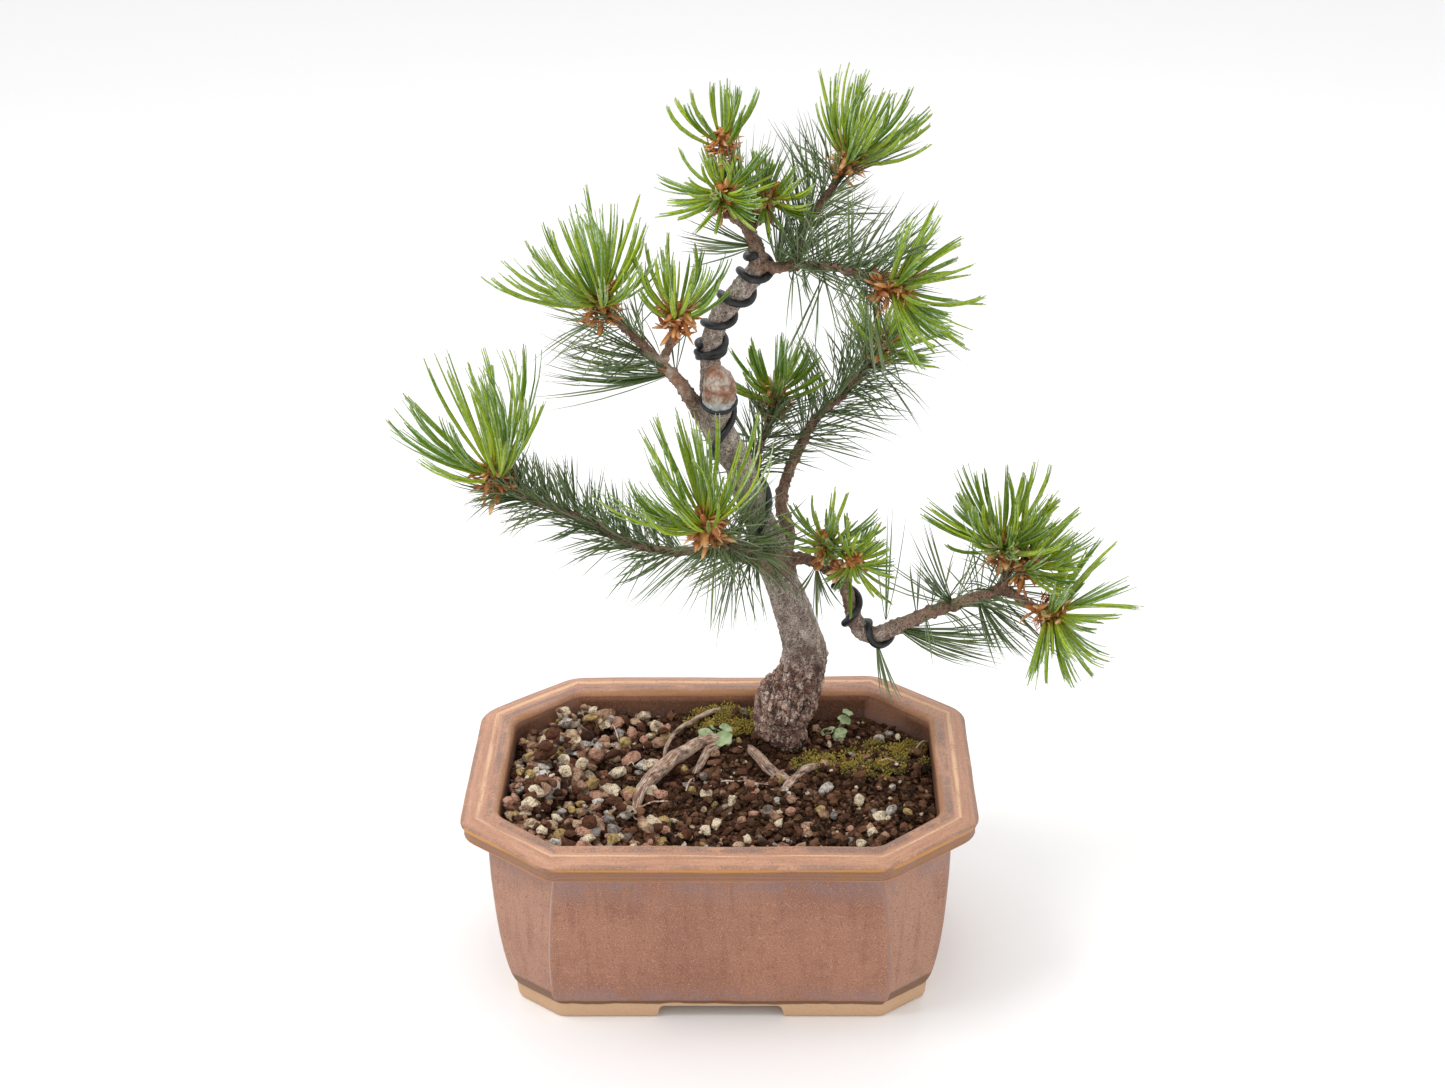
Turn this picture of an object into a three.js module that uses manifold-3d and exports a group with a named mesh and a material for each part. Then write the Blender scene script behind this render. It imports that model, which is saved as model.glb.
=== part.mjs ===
// A white pine bonsai in an octagonal glazed pot: pot, soil, grit, roots, trunk, branches, needles, wire.
// Millimetres, +Z up. The pot is modelled about its own centre line and the tree about the trunk's foot.
// The finished group is moved so that the middle of its underside is the origin.
import * as THREE from 'three';
import { mergeVertices } from 'three/addons/utils/BufferGeometryUtils.js';
import Module from 'manifold-3d';

const wasm = await Module();
wasm.setup();

// ---- driving dimensions ----

const gap = 0.35;                 // clearance kept between pieces that touch

const rimLength = 220;            // pot, over the rim, along X
const rimWidth = 162;             // pot, over the rim, along Y
const potHeight = 89;
const rimCut = { x: 39, y: 34 };  // corner cut of the octagon at the rim
const rimBand = 16.3;             // flat width of the rim
const openingCut = { x: 26.4, y: 25.5 };
const lipHeight = 5;              // upright band at the rim's edge
const lipOverhang = 11.5;         // rim's edge beyond the wall below it
const coveHeight = 6.5;           // slope from the lip's lower edge in to the wall
const wallCut = { x: 30, y: 26 }; // corner cut of the wall under the lip
const baseCut = { x: 19, y: 15 }; // corner cut at the glaze line
const wallTaper = 10.5;           // how far each wall leans in from the lip to the glaze line
const wallBelly = 2.6;            // outward bow of the wall at mid height
const wallThickness = 7;
const floorThickness = 7;
const footHeight = 8.3;           // unglazed foot, up to the glaze line
const footInset = 3;              // foot's bottom edge behind the glaze line
const footBand = 13;              // width of the foot ring
const recessDepth = 6.8;          // hollow under the floor
const notchLength = 59;           // gap in the foot's long sides
const sideNotchLength = 36;       // gap in the foot's short sides
const notchHeight = 6.5;

const drainHoleRadius = 8;
const drainHoleSpacing = 90;
const screenSize = 30;            // plastic mesh over a drain hole
const screenThickness = 1.2;
const screenHole = 5;
const screenPitch = 8;

const soilDrop = 9;               // soil's level below the rim
const gritThickness = 2;          // bed under the loose-looking top grains
const gritFromTrunk = 39;         // dense grit's right edge, left of the trunk's centre
const footFromBackEdge = 20;      // trunk's centre to the opening's back edge
const mossFromBackEdge = 8;       // middle of the moss behind the trunk, likewise
const footFromCentre = 30;        // trunk's centre, right of the pot's middle

const wireRadius = 1.55;
const needleRadius = 0.75;

// ---- materials ----

const finishes = {
  glaze: [0xb07a5e, 0.45, 0],
  mesh: [0x20241f, 0.7, 0],
  soil: [0x3a271b, 0.95, 0],
  grit: [0x8a6e5c, 0.9, 0],
  moss: [0x757229, 0.95, 0],
  weed: [0x9fbb70, 0.7, 0],
  root: [0xb29a7d, 0.85, 0],
  bark: [0x84705f, 0.9, 0],
  newNeedles: [0x5d8a36, 0.5, 0],
  oldNeedles: [0x486952, 0.55, 0],
  wire: [0x232328, 0.4, 0.3],
};

// ---- closed shapes and joining ----

function barePositions(geometry) {
  geometry.deleteAttribute('normal');
  geometry.deleteAttribute('uv');
  return mergeVertices(geometry, 1e-4);
}

function toSolid(geometry) {
  const bare = barePositions(geometry);
  return new wasm.Manifold(new wasm.Mesh({
    numProp: 3,
    vertProperties: new Float32Array(bare.attributes.position.array),
    triVerts: new Uint32Array(bare.index.array),
  }));
}

function toGeometry(solid) {
  const mesh = solid.getMesh();
  const geometry = new THREE.BufferGeometry();
  geometry.setAttribute('position', new THREE.BufferAttribute(mesh.vertProperties, 3));
  geometry.setIndex(new THREE.BufferAttribute(mesh.triVerts, 1));
  geometry.computeVertexNormals();
  return geometry;
}

const join = (solids) => solids.reduce((whole, piece) => whole.add(piece));

// A closed cylinder, or a cone, whose every ring of vertices is put where place(side, ring, isCentre) says.
function ringGeometry(sides, rings, place, topRadius = 1) {
  const geometry = barePositions(new THREE.CylinderGeometry(topRadius, 1, 1, sides, rings));
  const position = geometry.attributes.position;
  for (let i = 0; i < position.count; i += 1) {
    const [x, y, z] = [position.getX(i), position.getY(i), position.getZ(i)];
    const turn = Math.atan2(x, z) / (2 * Math.PI);
    const side = Math.round((turn < -1e-6 ? turn + 1 : turn) * sides) % sides;
    const spot = place(side, Math.round((y + 0.5) * rings), Math.hypot(x, z) < 0.01);
    position.setXYZ(i, spot.x, spot.y, spot.z);
  }
  return geometry;
}

// A tapering round limb through stations [x, y, z, radius].
function limbGeometry(stations, { sides = 8, steps = stations.length, grow = 0, pointed = false } = {}) {
  const curve = new THREE.CatmullRomCurve3(stations.map(([x, y, z]) => new THREE.Vector3(x, y, z)));
  const frames = curve.computeFrenetFrames(steps);
  return ringGeometry(sides, steps, (side, ring, isCentre) => {
    const spot = curve.getPointAt(ring / steps);
    if (isCentre) return spot;
    const angle = (side / sides) * 2 * Math.PI;
    const radius = radiusAt(curve, stations, ring / steps) + grow;
    spot.addScaledVector(frames.binormals[ring], radius * Math.sin(angle));
    return spot.addScaledVector(frames.normals[ring], radius * Math.cos(angle));
  }, pointed ? 0 : 1);
}

function radiusAt(curve, stations, share) {
  const place = curve.getUtoTmapping(share) * (stations.length - 1);
  const index = Math.min(Math.floor(place), stations.length - 2);
  return THREE.MathUtils.lerp(stations[index][3], stations[index + 1][3], place - index);
}

const limb = (stations, options) => toSolid(limbGeometry(stations, options));

function movedBox(sizeX, sizeY, sizeZ, x, y, z) {
  return toSolid(new THREE.BoxGeometry(sizeX, sizeY, sizeZ).translate(x, y, z));
}

// ---- octagon sections of the pot ----

const rimOctagon = { halfX: rimLength / 2, halfY: rimWidth / 2, cutX: rimCut.x, cutY: rimCut.y };
const openingOctagon = {
  halfX: rimOctagon.halfX - rimBand,
  halfY: rimOctagon.halfY - rimBand,
  cutX: openingCut.x,
  cutY: openingCut.y,
};

// The octagon moved in by a distance: each corner cut shortens as the sides of an offset outline do.
function inset(octagon, distance) {
  const shorter = 0.58 * distance;
  return {
    halfX: octagon.halfX - distance,
    halfY: octagon.halfY - distance,
    cutX: Math.max(octagon.cutX - shorter, 4),
    cutY: Math.max(octagon.cutY - shorter, 4),
  };
}

function octagonCorner({ halfX, halfY, cutX, cutY }, corner) {
  const right = corner < 4 ? 1 : -1;
  const back = corner > 1 && corner < 6 ? 1 : -1;
  const onLongSide = corner % 4 === 0 || corner % 4 === 3;
  const x = right * (onLongSide ? halfX - cutX : halfX);
  const y = back * (onLongSide ? halfY : halfY - cutY);
  return { x, y };
}

// sections: [z, octagon] from the bottom up
function octagonSolid(sections) {
  return toSolid(ringGeometry(8, sections.length - 1, (side, ring, isCentre) => {
    const [z, octagon] = sections[ring];
    if (isCentre) return new THREE.Vector3(0, 0, z);
    const { x, y } = octagonCorner(octagon, side);
    return new THREE.Vector3(x, y, z);
  }));
}

const wallTop = potHeight - lipHeight - coveHeight;

// The wall's outside at a height: it leans in and its corner cuts shrink towards the glaze line.
function wallOctagon(z) {
  const down = (wallTop - z) / (wallTop - footHeight);
  const lean = lipOverhang + wallTaper * down - wallBelly * Math.sin(Math.PI * down);
  return {
    halfX: rimOctagon.halfX - lean,
    halfY: rimOctagon.halfY - lean,
    cutX: THREE.MathUtils.lerp(wallCut.x, baseCut.x, down),
    cutY: THREE.MathUtils.lerp(wallCut.y, baseCut.y, down),
  };
}

const wallHeights = [0, 0.2, 0.4, 0.6, 0.8, 1].map((share) => THREE.MathUtils.lerp(footHeight, wallTop, share));
const floorTop = recessDepth + floorThickness;

// The pot's inside, or what fills it with a clearance.
function cavitySections(top, clearance) {
  const cavity = (z) => inset(wallOctagon(z), wallThickness + clearance);
  const middle = potHeight / 2;
  const mouth = inset(openingOctagon, clearance);
  return [[floorTop + clearance, cavity(floorTop)], [middle, cavity(middle)], [wallTop - 4, mouth], [top, mouth]];
}

function makePot() {
  const outside = octagonSolid([
    [0, inset(wallOctagon(footHeight), footInset)],
    ...wallHeights.map((z) => [z, wallOctagon(z)]),
    [wallTop + coveHeight, inset(rimOctagon, 1)],
    [wallTop + coveHeight + 1, rimOctagon],
    [potHeight - 1, rimOctagon],
    [potHeight, inset(rimOctagon, 1.2)],
  ]);
  const recessOctagon = inset(wallOctagon(footHeight), footInset + footBand);
  const cuts = [
    octagonSolid(cavitySections(potHeight + 5, 0)),
    octagonSolid([[-5, recessOctagon], [recessDepth, recessOctagon]]),
    movedBox(notchLength, rimWidth, 2 * notchHeight, 0, 0, 0),
    movedBox(rimLength, sideNotchLength, 2 * notchHeight, 0, 0, 0),
    ...[-0.5, 0.5].map((share) => drainHole(share * drainHoleSpacing)),
  ];
  return outside.subtract(join(cuts));
}

function drainHole(x) {
  const hole = new THREE.CylinderGeometry(drainHoleRadius, drainHoleRadius, 4 * floorThickness, 20);
  return toSolid(hole.rotateX(Math.PI / 2).translate(x, 0, floorTop));
}

function makeScreen(x) {
  const z = floorTop + gap + screenThickness / 2;
  const cuts = [];
  for (const i of [-1, 0, 1]) {
    for (const j of [-1, 0, 1]) {
      const hole = [screenHole, screenHole, 3 * screenThickness];
      cuts.push(movedBox(...hole, x + i * screenPitch, j * screenPitch, z));
    }
  }
  return movedBox(screenSize, screenSize, screenThickness, x, 0, z).subtract(join(cuts));
}

// ---- the tree's wood, about the trunk's foot ----

const soilTop = potHeight - soilDrop;
const foot = new THREE.Vector3(footFromCentre, openingOctagon.halfY - footFromBackEdge, soilTop);

const trunkStations = [
  [2, 1, -16, 8], [1, 0, -3, 10.4], [1, -1, 5, 13.6], [0, -2, 13, 14.8], [1, -3, 22, 14.6],
  [4, -5, 32, 12.8], [7, -6, 42, 10.6], [5, -7, 50, 8.2], [3, -8, 63, 7.7], [0, -10, 74, 7.6],
  [-3, -12, 85, 7.6], [-6, -14, 96, 8.4], [-9, -16, 106, 7.2], [-13, -17, 118, 6.4],
  [-17, -18, 130, 6.4], [-21, -20, 144, 6.4], [-27, -23, 156, 6.7], [-31, -26, 166, 6.8],
  [-31, -31, 177, 6.2], [-30, -34, 187, 6], [-29, -36, 195, 5],
];
const leaderStations = [
  [-29, -22, 160, 5], [-32, -20, 172, 5.2], [-32, -19, 184, 4.9], [-32, -19, 195, 4.5],
  [-30, -20, 204, 4.4], [-27, -22, 212, 4.4], [-22, -24, 219, 4.6], [-17, -26, 226, 4.6],
  [-12, -28, 233, 4.2], [-12, -30, 240, 3.3], [-14, -32, 247, 2.8], [-17, -35, 255, 2.3],
  [-21, -36, 262, 1.7], [-24, -35, 270, 1.3], [-25, -34, 281, 1.1],
];
const trunkForks = {
  burr: [[6, -8, 36, 7], [14, -10, 41, 6.4], [16, -10, 47, 4.5]],
  apexFront: [[-16, -34, 253, 2.2], [-21, -38, 258, 1.9], [-25, -40, 261, 1.6]],
  apexRight: [[-16, -34, 251, 2.2], [-13, -31, 253, 1.9], [-10, -29, 255, 1.6]],
};
const branchStations = {
  left_low: [[
    [-8, -15, 94, 4.4], [-17, -23, 101, 2.9], [-27, -29, 106, 2.4], [-38, -32, 108, 2.1],
    [-61, -33, 111, 1.9], [-80, -33, 120, 1.9], [-98, -34, 130, 1.9], [-112, -36, 137, 1.7],
    [-119, -37, 142, 1.5],
  ]],
  centre_front: [[
    [-9, -20, 97, 3], [-14, -31, 108, 2.6], [-22, -43, 116, 2.5], [-28, -52, 123, 2.3],
    [-32, -58, 128, 1.8],
  ]],
  left_mid: [
    [
      [-33, -25, 164, 4.4], [-40, -25, 175, 3.4], [-45, -27, 184, 2.8], [-53, -28, 193, 2.4],
      [-62, -31, 205, 1.9], [-69, -34, 213, 1.8], [-74, -36, 217, 1.5],
    ],
    [[-52, -28, 192, 1.9], [-49, -33, 200, 1.7], [-47, -37, 207, 1.7], [-45, -40, 213, 1.6]],
  ],
  upper_right: [
    [
      [-12, -29, 237, 2], [-7, -31, 235, 2.4], [-1, -31, 235, 2.2], [3, -30, 239, 2],
      [7, -26, 250, 1.8], [12, -24, 257, 1.8], [18, -23, 265, 1.6], [22, -23, 272, 1.3],
    ],
    [[-1, -31, 235, 2], [8, -38, 238, 1.8], [20, -48, 240, 1.7], [30, -55, 239, 1.8], [36, -58, 236, 1.6]],
  ],
  right_low: [
    [
      [0, -15, 97, 3.2], [8, -21, 99, 2.5], [15, -26, 98, 2.4], [21, -27, 94, 2.6], [25, -27, 87, 2.9],
      [27, -27, 79, 3.1], [29, -27, 72, 3.7], [32, -27, 67, 3.9], [38, -28, 66, 3.8], [45, -30, 70, 3.5],
      [61, -34, 80, 2.8], [77, -38, 88, 2.6], [88, -41, 94, 2.3], [92, -43, 102, 1.9], [91, -43, 111, 1.7],
    ],
    [[12, -24, 98, 2], [14, -29, 103, 1.7], [15, -32, 108, 1.5]],
    [[20, -27, 95, 2], [23, -33, 98, 1.7], [24, -36, 101, 1.5]],
    [[86, -40, 93, 2.2], [94, -44, 94, 2], [100, -48, 91, 1.8], [105, -50, 89, 1.5]],
  ],
  back_right: [[
    [-2, -12, 97, 4], [0, -7, 106, 3.2], [-3, -4, 117, 2.8], [-1, -1, 127, 2.5], [4, 2, 139, 2.3],
    [12, 6, 153, 2], [24, 10, 163, 1.8], [33, 12, 173, 1.7], [38, 13, 178, 1.5],
  ]],
  back_centre: [[
    [-18, -16, 130, 2.6], [-15, -7, 136, 2], [-12, 1, 143, 1.8], [-8, 5, 151, 1.7], [-6, 7, 158, 1.5],
  ]],
};

const trunkSteps = 24;
const atFoot = (stations) => stations.map(([x, y, z, r]) => [x + foot.x, y + foot.y, z + foot.z, r]);

function trunkSolid(grow = 0) {
  const pieces = [
    limb(atFoot(trunkStations), { sides: 10, steps: trunkSteps, grow }),
    limb(atFoot(leaderStations), { sides: 7, grow }),
    ...Object.values(trunkForks).map((stations) => limb(atFoot(stations), { sides: 6, grow })),
  ];
  return join(pieces);
}

function branchSolid(name, grow = 0) {
  return join(branchStations[name].map((stations) => limb(atFoot(stations), { sides: 6, grow })));
}

// ---- surface roots, lying on the soil and the grit ----

const gritTop = soilTop + gap + gritThickness;

// Stations [x, y, height above the surface, radius] measured from the trunk's foot.
const rootStations = {
  root_left: [
    [-30, -9, 0, 2], [-40, -19, 1.6, 3.2], [-49, -28, 1.8, 3.4], [-57, -37, 1, 3], [-64, -49, 0, 2.1],
  ],
  root_left_short: [[-28, -17, 0, 1.3], [-32, -26, 1.2, 1.6], [-36, -38, 0, 1.2]],
  root_front: [[-17, -19, 0, 1.8], [-11, -25, 1.5, 2.4], [-5, -31, 1.2, 2.2], [0, -35, 0, 1.6]],
  root_right: [[14, -27, 0, 1.6], [8, -38, 0.8, 2], [3, -43, 0, 1.6]],
  root_thin: [[-31, 15, 0, 0.9], [-41, 11, 1, 1], [-50, 2, 1, 1], [-54, -9, 0, 0.9]],
};

const rootsOnGrit = ['root_left', 'root_thin'];

function rootOnSurface(name) {
  const level = (rootsOnGrit.includes(name) ? gritTop - soilTop : 0) + gap;
  const stations = rootStations[name].map(([x, y, rise, r]) => [x, y, level + rise + r, r]);
  return atFoot(stations);
}

// ---- training wire ----

// Points listed by hand from the trunk's foot, then pushed off the wood until they clear it.
const wireRoutes = {
  wire_middle: [
    [2, -24, 103], [-3, -27, 110], [-7, -27, 120], [-12, -28, 130], [-19, -30, 137], [-27, -31, 143],
    [-25, -33, 152], [-20, -32, 160], [-17, -28, 168], [-20, -26, 176], [-22, -38, 178], [-29, -43, 177],
    [-38, -36, 176], [-41, -25, 178], [-38, -14, 182],
  ],
  wire_upper: [
    [-22, -14, 186], [-23, -24, 192], [-25, -38, 197], [-33, -41, 199], [-40, -28, 198], [-39, -17, 199],
    [-28, -13, 201], [-23, -20, 203], [-27, -28, 208], [-35, -23, 212], [-31, -14, 214], [-23, -15, 215],
    [-17, -22, 216], [-21, -32, 221], [-27, -26, 225], [-20, -17, 226], [-12, -18, 226],
    [-8, -27, 226], [-14, -35, 231], [-19, -31, 236], [-14, -23, 238], [-6, -25, 243],
  ],
  wire_right: [
    [12, -33, 92], [20, -34, 92], [28, -31, 89], [31, -23, 86], [24, -20, 81], [19, -26, 76], [24, -35, 73],
    [34, -34, 75], [37, -26, 74], [33, -20, 66], [35, -27, 60], [41, -35, 65], [44, -34, 75],
    [50, -26, 77], [54, -25, 70], [57, -34, 73], [58, -39, 81],
  ],
};

// ---- clearances between slender pieces ----

const obstacles = [];             // balls { spot, radius, owner } strung along every limb, wire and needle

function noteLimb(owner, stations, step = 1.5) {
  const curve = new THREE.CatmullRomCurve3(stations.map(([x, y, z]) => new THREE.Vector3(x, y, z)));
  const count = Math.ceil(curve.getLength() / step);
  for (let i = 0; i <= count; i += 1) {
    obstacles.push({ spot: curve.getPointAt(i / count), radius: radiusAt(curve, stations, i / count), owner });
  }
}

function isClear(spot, radius, owner) {
  return obstacles.every((ball) => ball.owner === owner
    || ball.spot.distanceTo(spot) > ball.radius + radius + gap);
}

function pushOff(spot, radius) {
  for (let round = 0; round < 12; round += 1) {
    for (const ball of obstacles) {
      const reach = ball.radius + radius + 1.6 * gap;
      const away = spot.clone().sub(ball.spot);
      if (away.length() < reach) spot.copy(ball.spot).addScaledVector(away.normalize(), reach);
    }
  }
  return spot;
}

// ---- needles ----

const goldenAngle = Math.PI * (3 - Math.sqrt(5));
const wave = (i, speed) => Math.sin(i * speed);   // steady, repeatable variation from piece to piece

// Direction number i of count, spread evenly over a cap of the given half angle about an axis.
function capDirection(axis, i, count, spread) {
  const tilt = spread * Math.sqrt((i + 0.5) / count);
  const turn = i * goldenAngle;
  const local = new THREE.Vector3(Math.sin(tilt) * Math.cos(turn), Math.sin(tilt) * Math.sin(turn), Math.cos(tilt));
  const upright = new THREE.Vector3(0, 0, 1);
  return local.applyQuaternion(new THREE.Quaternion().setFromUnitVectors(upright, axis));
}

function needleStations(start, tip, bow) {
  const middle = start.clone().lerp(tip, 0.55).add(bow);
  return [[...start, needleRadius], [...middle, needleRadius], [...tip, 0.2]];
}

// A needle that would touch another piece is left out.
function tryNeedle(owner, stations) {
  const curve = new THREE.CatmullRomCurve3(stations.map(([x, y, z]) => new THREE.Vector3(x, y, z)));
  const spots = curve.getSpacedPoints(24).slice(4);
  if (!spots.every((spot) => isClear(spot, needleRadius, owner))) return null;
  noteLimb(owner, stations, 1.2);
  return limb(stations, { sides: 3, steps: 2, pointed: true });
}

// New growth on a branch end: base from the trunk's foot, axis, half angle in degrees, and the needle tips'
// least and greatest distance from the base.
const tufts = {
  needles_apex: { base: [-25, -34, 282], axis: [-0.1, 0, 1], spread: 50, reach: [23, 31], count: 11 },
  needles_apex_front: { base: [-26, -41, 262], axis: [-0.45, -0.7, 0.45], spread: 80, reach: [20, 25], count: 12 },
  needles_apex_right: { base: [-9, -28, 256], axis: [0.7, -0.4, 0.35], spread: 75, reach: [16, 22], count: 9 },
  needles_crown: { base: [23, -23, 274], axis: [0.45, -0.05, 0.9], spread: 46, reach: [33, 40], count: 14 },
  needles_upper_front: { base: [38, -59, 235], axis: [1, -0.25, 0.1], spread: 58, reach: [28, 40], count: 14 },
  needles_back_right: { base: [39, 13, 180], axis: [0.5, 0.1, 0.75], spread: 60, reach: [23, 30], count: 11 },
  needles_back_centre: { base: [-6, 7, 161], axis: [0, 0, 1], spread: 46, reach: [25, 31], count: 9 },
  needles_left_mid: { base: [-75, -36, 218], axis: [-0.25, -0.1, 1], spread: 54, reach: [36, 54], count: 16 },
  needles_left_fork: { base: [-45, -41, 215], axis: [0.12, -0.1, 1], spread: 42, reach: [26, 36], count: 11 },
  needles_left_low: { base: [-121, -38, 143], axis: [-0.3, -0.1, 1], spread: 44, reach: [46, 63], count: 16 },
  needles_centre_front: { base: [-33, -60, 130], axis: [-0.3, -0.3, 0.9], spread: 62, reach: [36, 55], count: 14 },
  needles_right_near: { base: [15, -33, 110], axis: [0, -0.15, 1], spread: 58, reach: [20, 25], count: 10 },
  needles_right_twig: { base: [24, -37, 103], axis: [0.75, -0.5, 0.1], spread: 72, reach: [17, 23], count: 9 },
  needles_right_low: { base: [91, -43, 113], axis: [0.05, -0.1, 1], spread: 72, reach: [29, 38], count: 14 },
  needles_right_tip: { base: [106, -51, 89], axis: [0.94, -0.25, -0.3], spread: 72, reach: [30, 44], count: 14 },
};
const shootLength = 9;
const shootRadius = 2.6;

function makeTuft(name) {
  const { base, axis, spread, reach, count } = tufts[name];
  const along = new THREE.Vector3(...axis).normalize();
  const start = new THREE.Vector3(...base).add(foot);
  const at = (distance) => start.clone().addScaledVector(along, distance);
  const shoot = [[...at(0), 1.5], [...at(shootLength * 0.5), shootRadius], [...at(shootLength), 1.2]];
  const solids = [limb(shoot, { sides: 6, steps: 3 })];
  noteLimb(name, shoot);
  for (let i = 0; i < count; i += 1) {
    const direction = capDirection(along, i, count, THREE.MathUtils.degToRad(spread));
    const distance = THREE.MathUtils.lerp(reach[0], reach[1], 0.5 + 0.5 * wave(i, 2.3));
    const root = at(shootLength * THREE.MathUtils.lerp(0.85, 0.3, i / count));
    const tip = start.clone().addScaledVector(direction, distance);
    const bow = direction.clone().sub(along).multiplyScalar(0.06 * distance);
    const needle = tryNeedle(name, needleStations(root, tip, bow));
    if (needle) solids.push(needle);
  }
  return join(solids);
}

// Last year's needles: a thin sleeve of their sheaths on a stretch of a limb, from share to share of it.
const oldNeedles = {
  old_needles_crown: {
    on: ['upper_right', 0], from: 0.62, to: 0.95, lean: [-0.1, 0.2, 0.7], length: [26, 38], count: 11,
  },
  old_needles_upper_front: {
    on: ['upper_right', 1], from: 0.35, to: 0.95, lean: [0.1, -0.1, 0.25], length: [24, 34], count: 14,
  },
  old_needles_back_right: {
    on: ['back_right', 0], from: 0.66, to: 0.97, lean: [0.2, 0.1, 0.15], length: [24, 36], count: 14,
  },
  old_needles_back_centre: {
    on: ['back_centre', 0], from: 0.55, to: 0.97, lean: [0, 0.3, -0.1], length: [18, 28], count: 9,
  },
  old_needles_left_mid: {
    on: ['left_mid', 0], from: 0.6, to: 0.97, lean: [-0.7, 0, -0.1], length: [26, 40], count: 12,
  },
  old_needles_left_low: {
    on: ['left_low', 0], from: 0.55, to: 0.97, lean: [-0.25, 0, 0.15], length: [20, 30], count: 18,
  },
  old_needles_centre_front: {
    on: ['centre_front', 0], from: 0.45, to: 0.95, lean: [0.2, -0.1, -0.2], length: [24, 34], count: 14,
  },
  old_needles_right_low: {
    on: ['right_low', 0], from: 0.72, to: 0.9, lean: [-0.5, -0.2, 0.2], length: [22, 32], count: 9,
  },
};
const sleeveThickness = 0.9;

function makeOldNeedles(name) {
  const { on, from, to, lean, length, count } = oldNeedles[name];
  const [branch, part] = on;
  const stations = atFoot(branchStations[branch][part]);
  const curve = new THREE.CatmullRomCurve3(stations.map(([x, y, z]) => new THREE.Vector3(x, y, z)));
  const station = (share, extra) => {
    const radius = radiusAt(curve, stations, share) + extra;
    return [...curve.getPointAt(share), radius];
  };
  const shares = [0, 0.25, 0.5, 0.75, 1].map((step) => THREE.MathUtils.lerp(from, to, step));
  const sleeve = shares.map((share) => station(share, gap + sleeveThickness));
  const solids = [limb(sleeve, { sides: 6, steps: 6 })];
  for (let i = 0; i < count; i += 1) {
    const share = THREE.MathUtils.lerp(from, to, (i + 0.5) / count);
    const along = curve.getTangentAt(share);
    const out = capDirection(along, i, count, 0).cross(new THREE.Vector3(0.31, 0.17, 0.93)).normalize();
    out.applyAxisAngle(along, i * goldenAngle);
    const start = curve.getPointAt(share).addScaledVector(out, station(share, gap + 0.5 * sleeveThickness)[3]);
    const direction = out.clone().addScaledVector(along, 0.75).add(new THREE.Vector3(...lean)).normalize();
    const distance = THREE.MathUtils.lerp(length[0], length[1], 0.5 + 0.5 * wave(i, 2.9));
    const tip = start.clone().addScaledVector(direction, distance);
    const bow = new THREE.Vector3(0, 0, 0.04 * distance);
    const needle = tryNeedle(name, needleStations(start, tip, bow));
    if (needle) solids.push(needle);
  }
  return join(solids).subtract(wood);
}

// ---- grit, moss, weeds ----

function pebble(x, y, z, size, turn) {
  const stone = new THREE.OctahedronGeometry(size, 0);
  stone.rotateX(turn).rotateZ(turn * 1.7).scale(1.15, 1, 0.75);
  return toSolid(stone.translate(x, y, z));
}

function makeGritBed() {
  const ground = inset(openingOctagon, 2 * gap);
  const bed = octagonSolid([[soilTop + gap, ground], [gritTop, ground]]);
  const gritReach = ground.halfX + foot.x - gritFromTrunk;
  const rightOfGrit = 2 * ground.halfX - gritReach;
  const edge = movedBox(rightOfGrit, rimWidth, 20, ground.halfX - rightOfGrit / 2, 0, soilTop);
  let grit = bed.subtract(edge);
  const pitch = 16;
  const columns = Math.floor((gritReach - 12) / pitch);
  const rows = Math.floor((2 * ground.halfY - 14) / pitch);
  for (let i = 0; i < columns; i += 1) {
    for (let j = 0; j < rows; j += 1) {
      const x = -ground.halfX + 9 + i * pitch + 1.6 * wave(i * 7 + j, 2.1);
      const y = (j - (rows - 1) / 2) * pitch + 1.6 * wave(i + j * 5, 1.3);
      const size = 3.4 + 0.9 * wave(i * 3 + j * 2, 1.9);
      const onCorner = Math.abs(x) / ground.halfX + Math.abs(y) / ground.halfY > 1.5;
      const spot = new THREE.Vector3(x, y, gritTop - 0.7 * gritThickness + 0.75 * size);
      if (!onCorner && isClear(spot, size * 1.15, 'grit')) grit = grit.add(pebble(...spot, size, i + 2 * j));
    }
  }
  return grit;
}

// A low cushion with a flat underside and a lumpy top.
function makeMoss({ at, size }) {
  const [halfX, halfY, height] = size;
  const profile = [[0, 0], [1, 0], [0.93, 0.4], [0.72, 0.75], [0.4, 0.95], [0, 1]];
  const dome = new THREE.LatheGeometry(profile.map(([r, z]) => new THREE.Vector2(r, z)), 11);
  const geometry = barePositions(dome.rotateX(Math.PI / 2));
  const position = geometry.attributes.position;
  for (let i = 0; i < position.count; i += 1) {
    const [x, y, z] = [position.getX(i), position.getY(i), position.getZ(i)];
    const lump = 1 + 0.13 * wave(i, 2.7);
    position.setXYZ(i, x * halfX * lump, y * halfY * lump, z * height * (z > 0.5 ? lump : 1));
  }
  return toSolid(geometry.translate(foot.x + at[0], foot.y + at[1], soilTop + gap));
}

const mossPatches = {
  moss_behind: { at: [-23, footFromBackEdge - mossFromBackEdge, 0], size: [11, 5, 4] },
  moss_right: { at: [26, -14, 0], size: [10, 7, 3] },
  moss_far_right: { at: [46, -9, 0], size: [9, 8, 3.5] },
};

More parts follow.
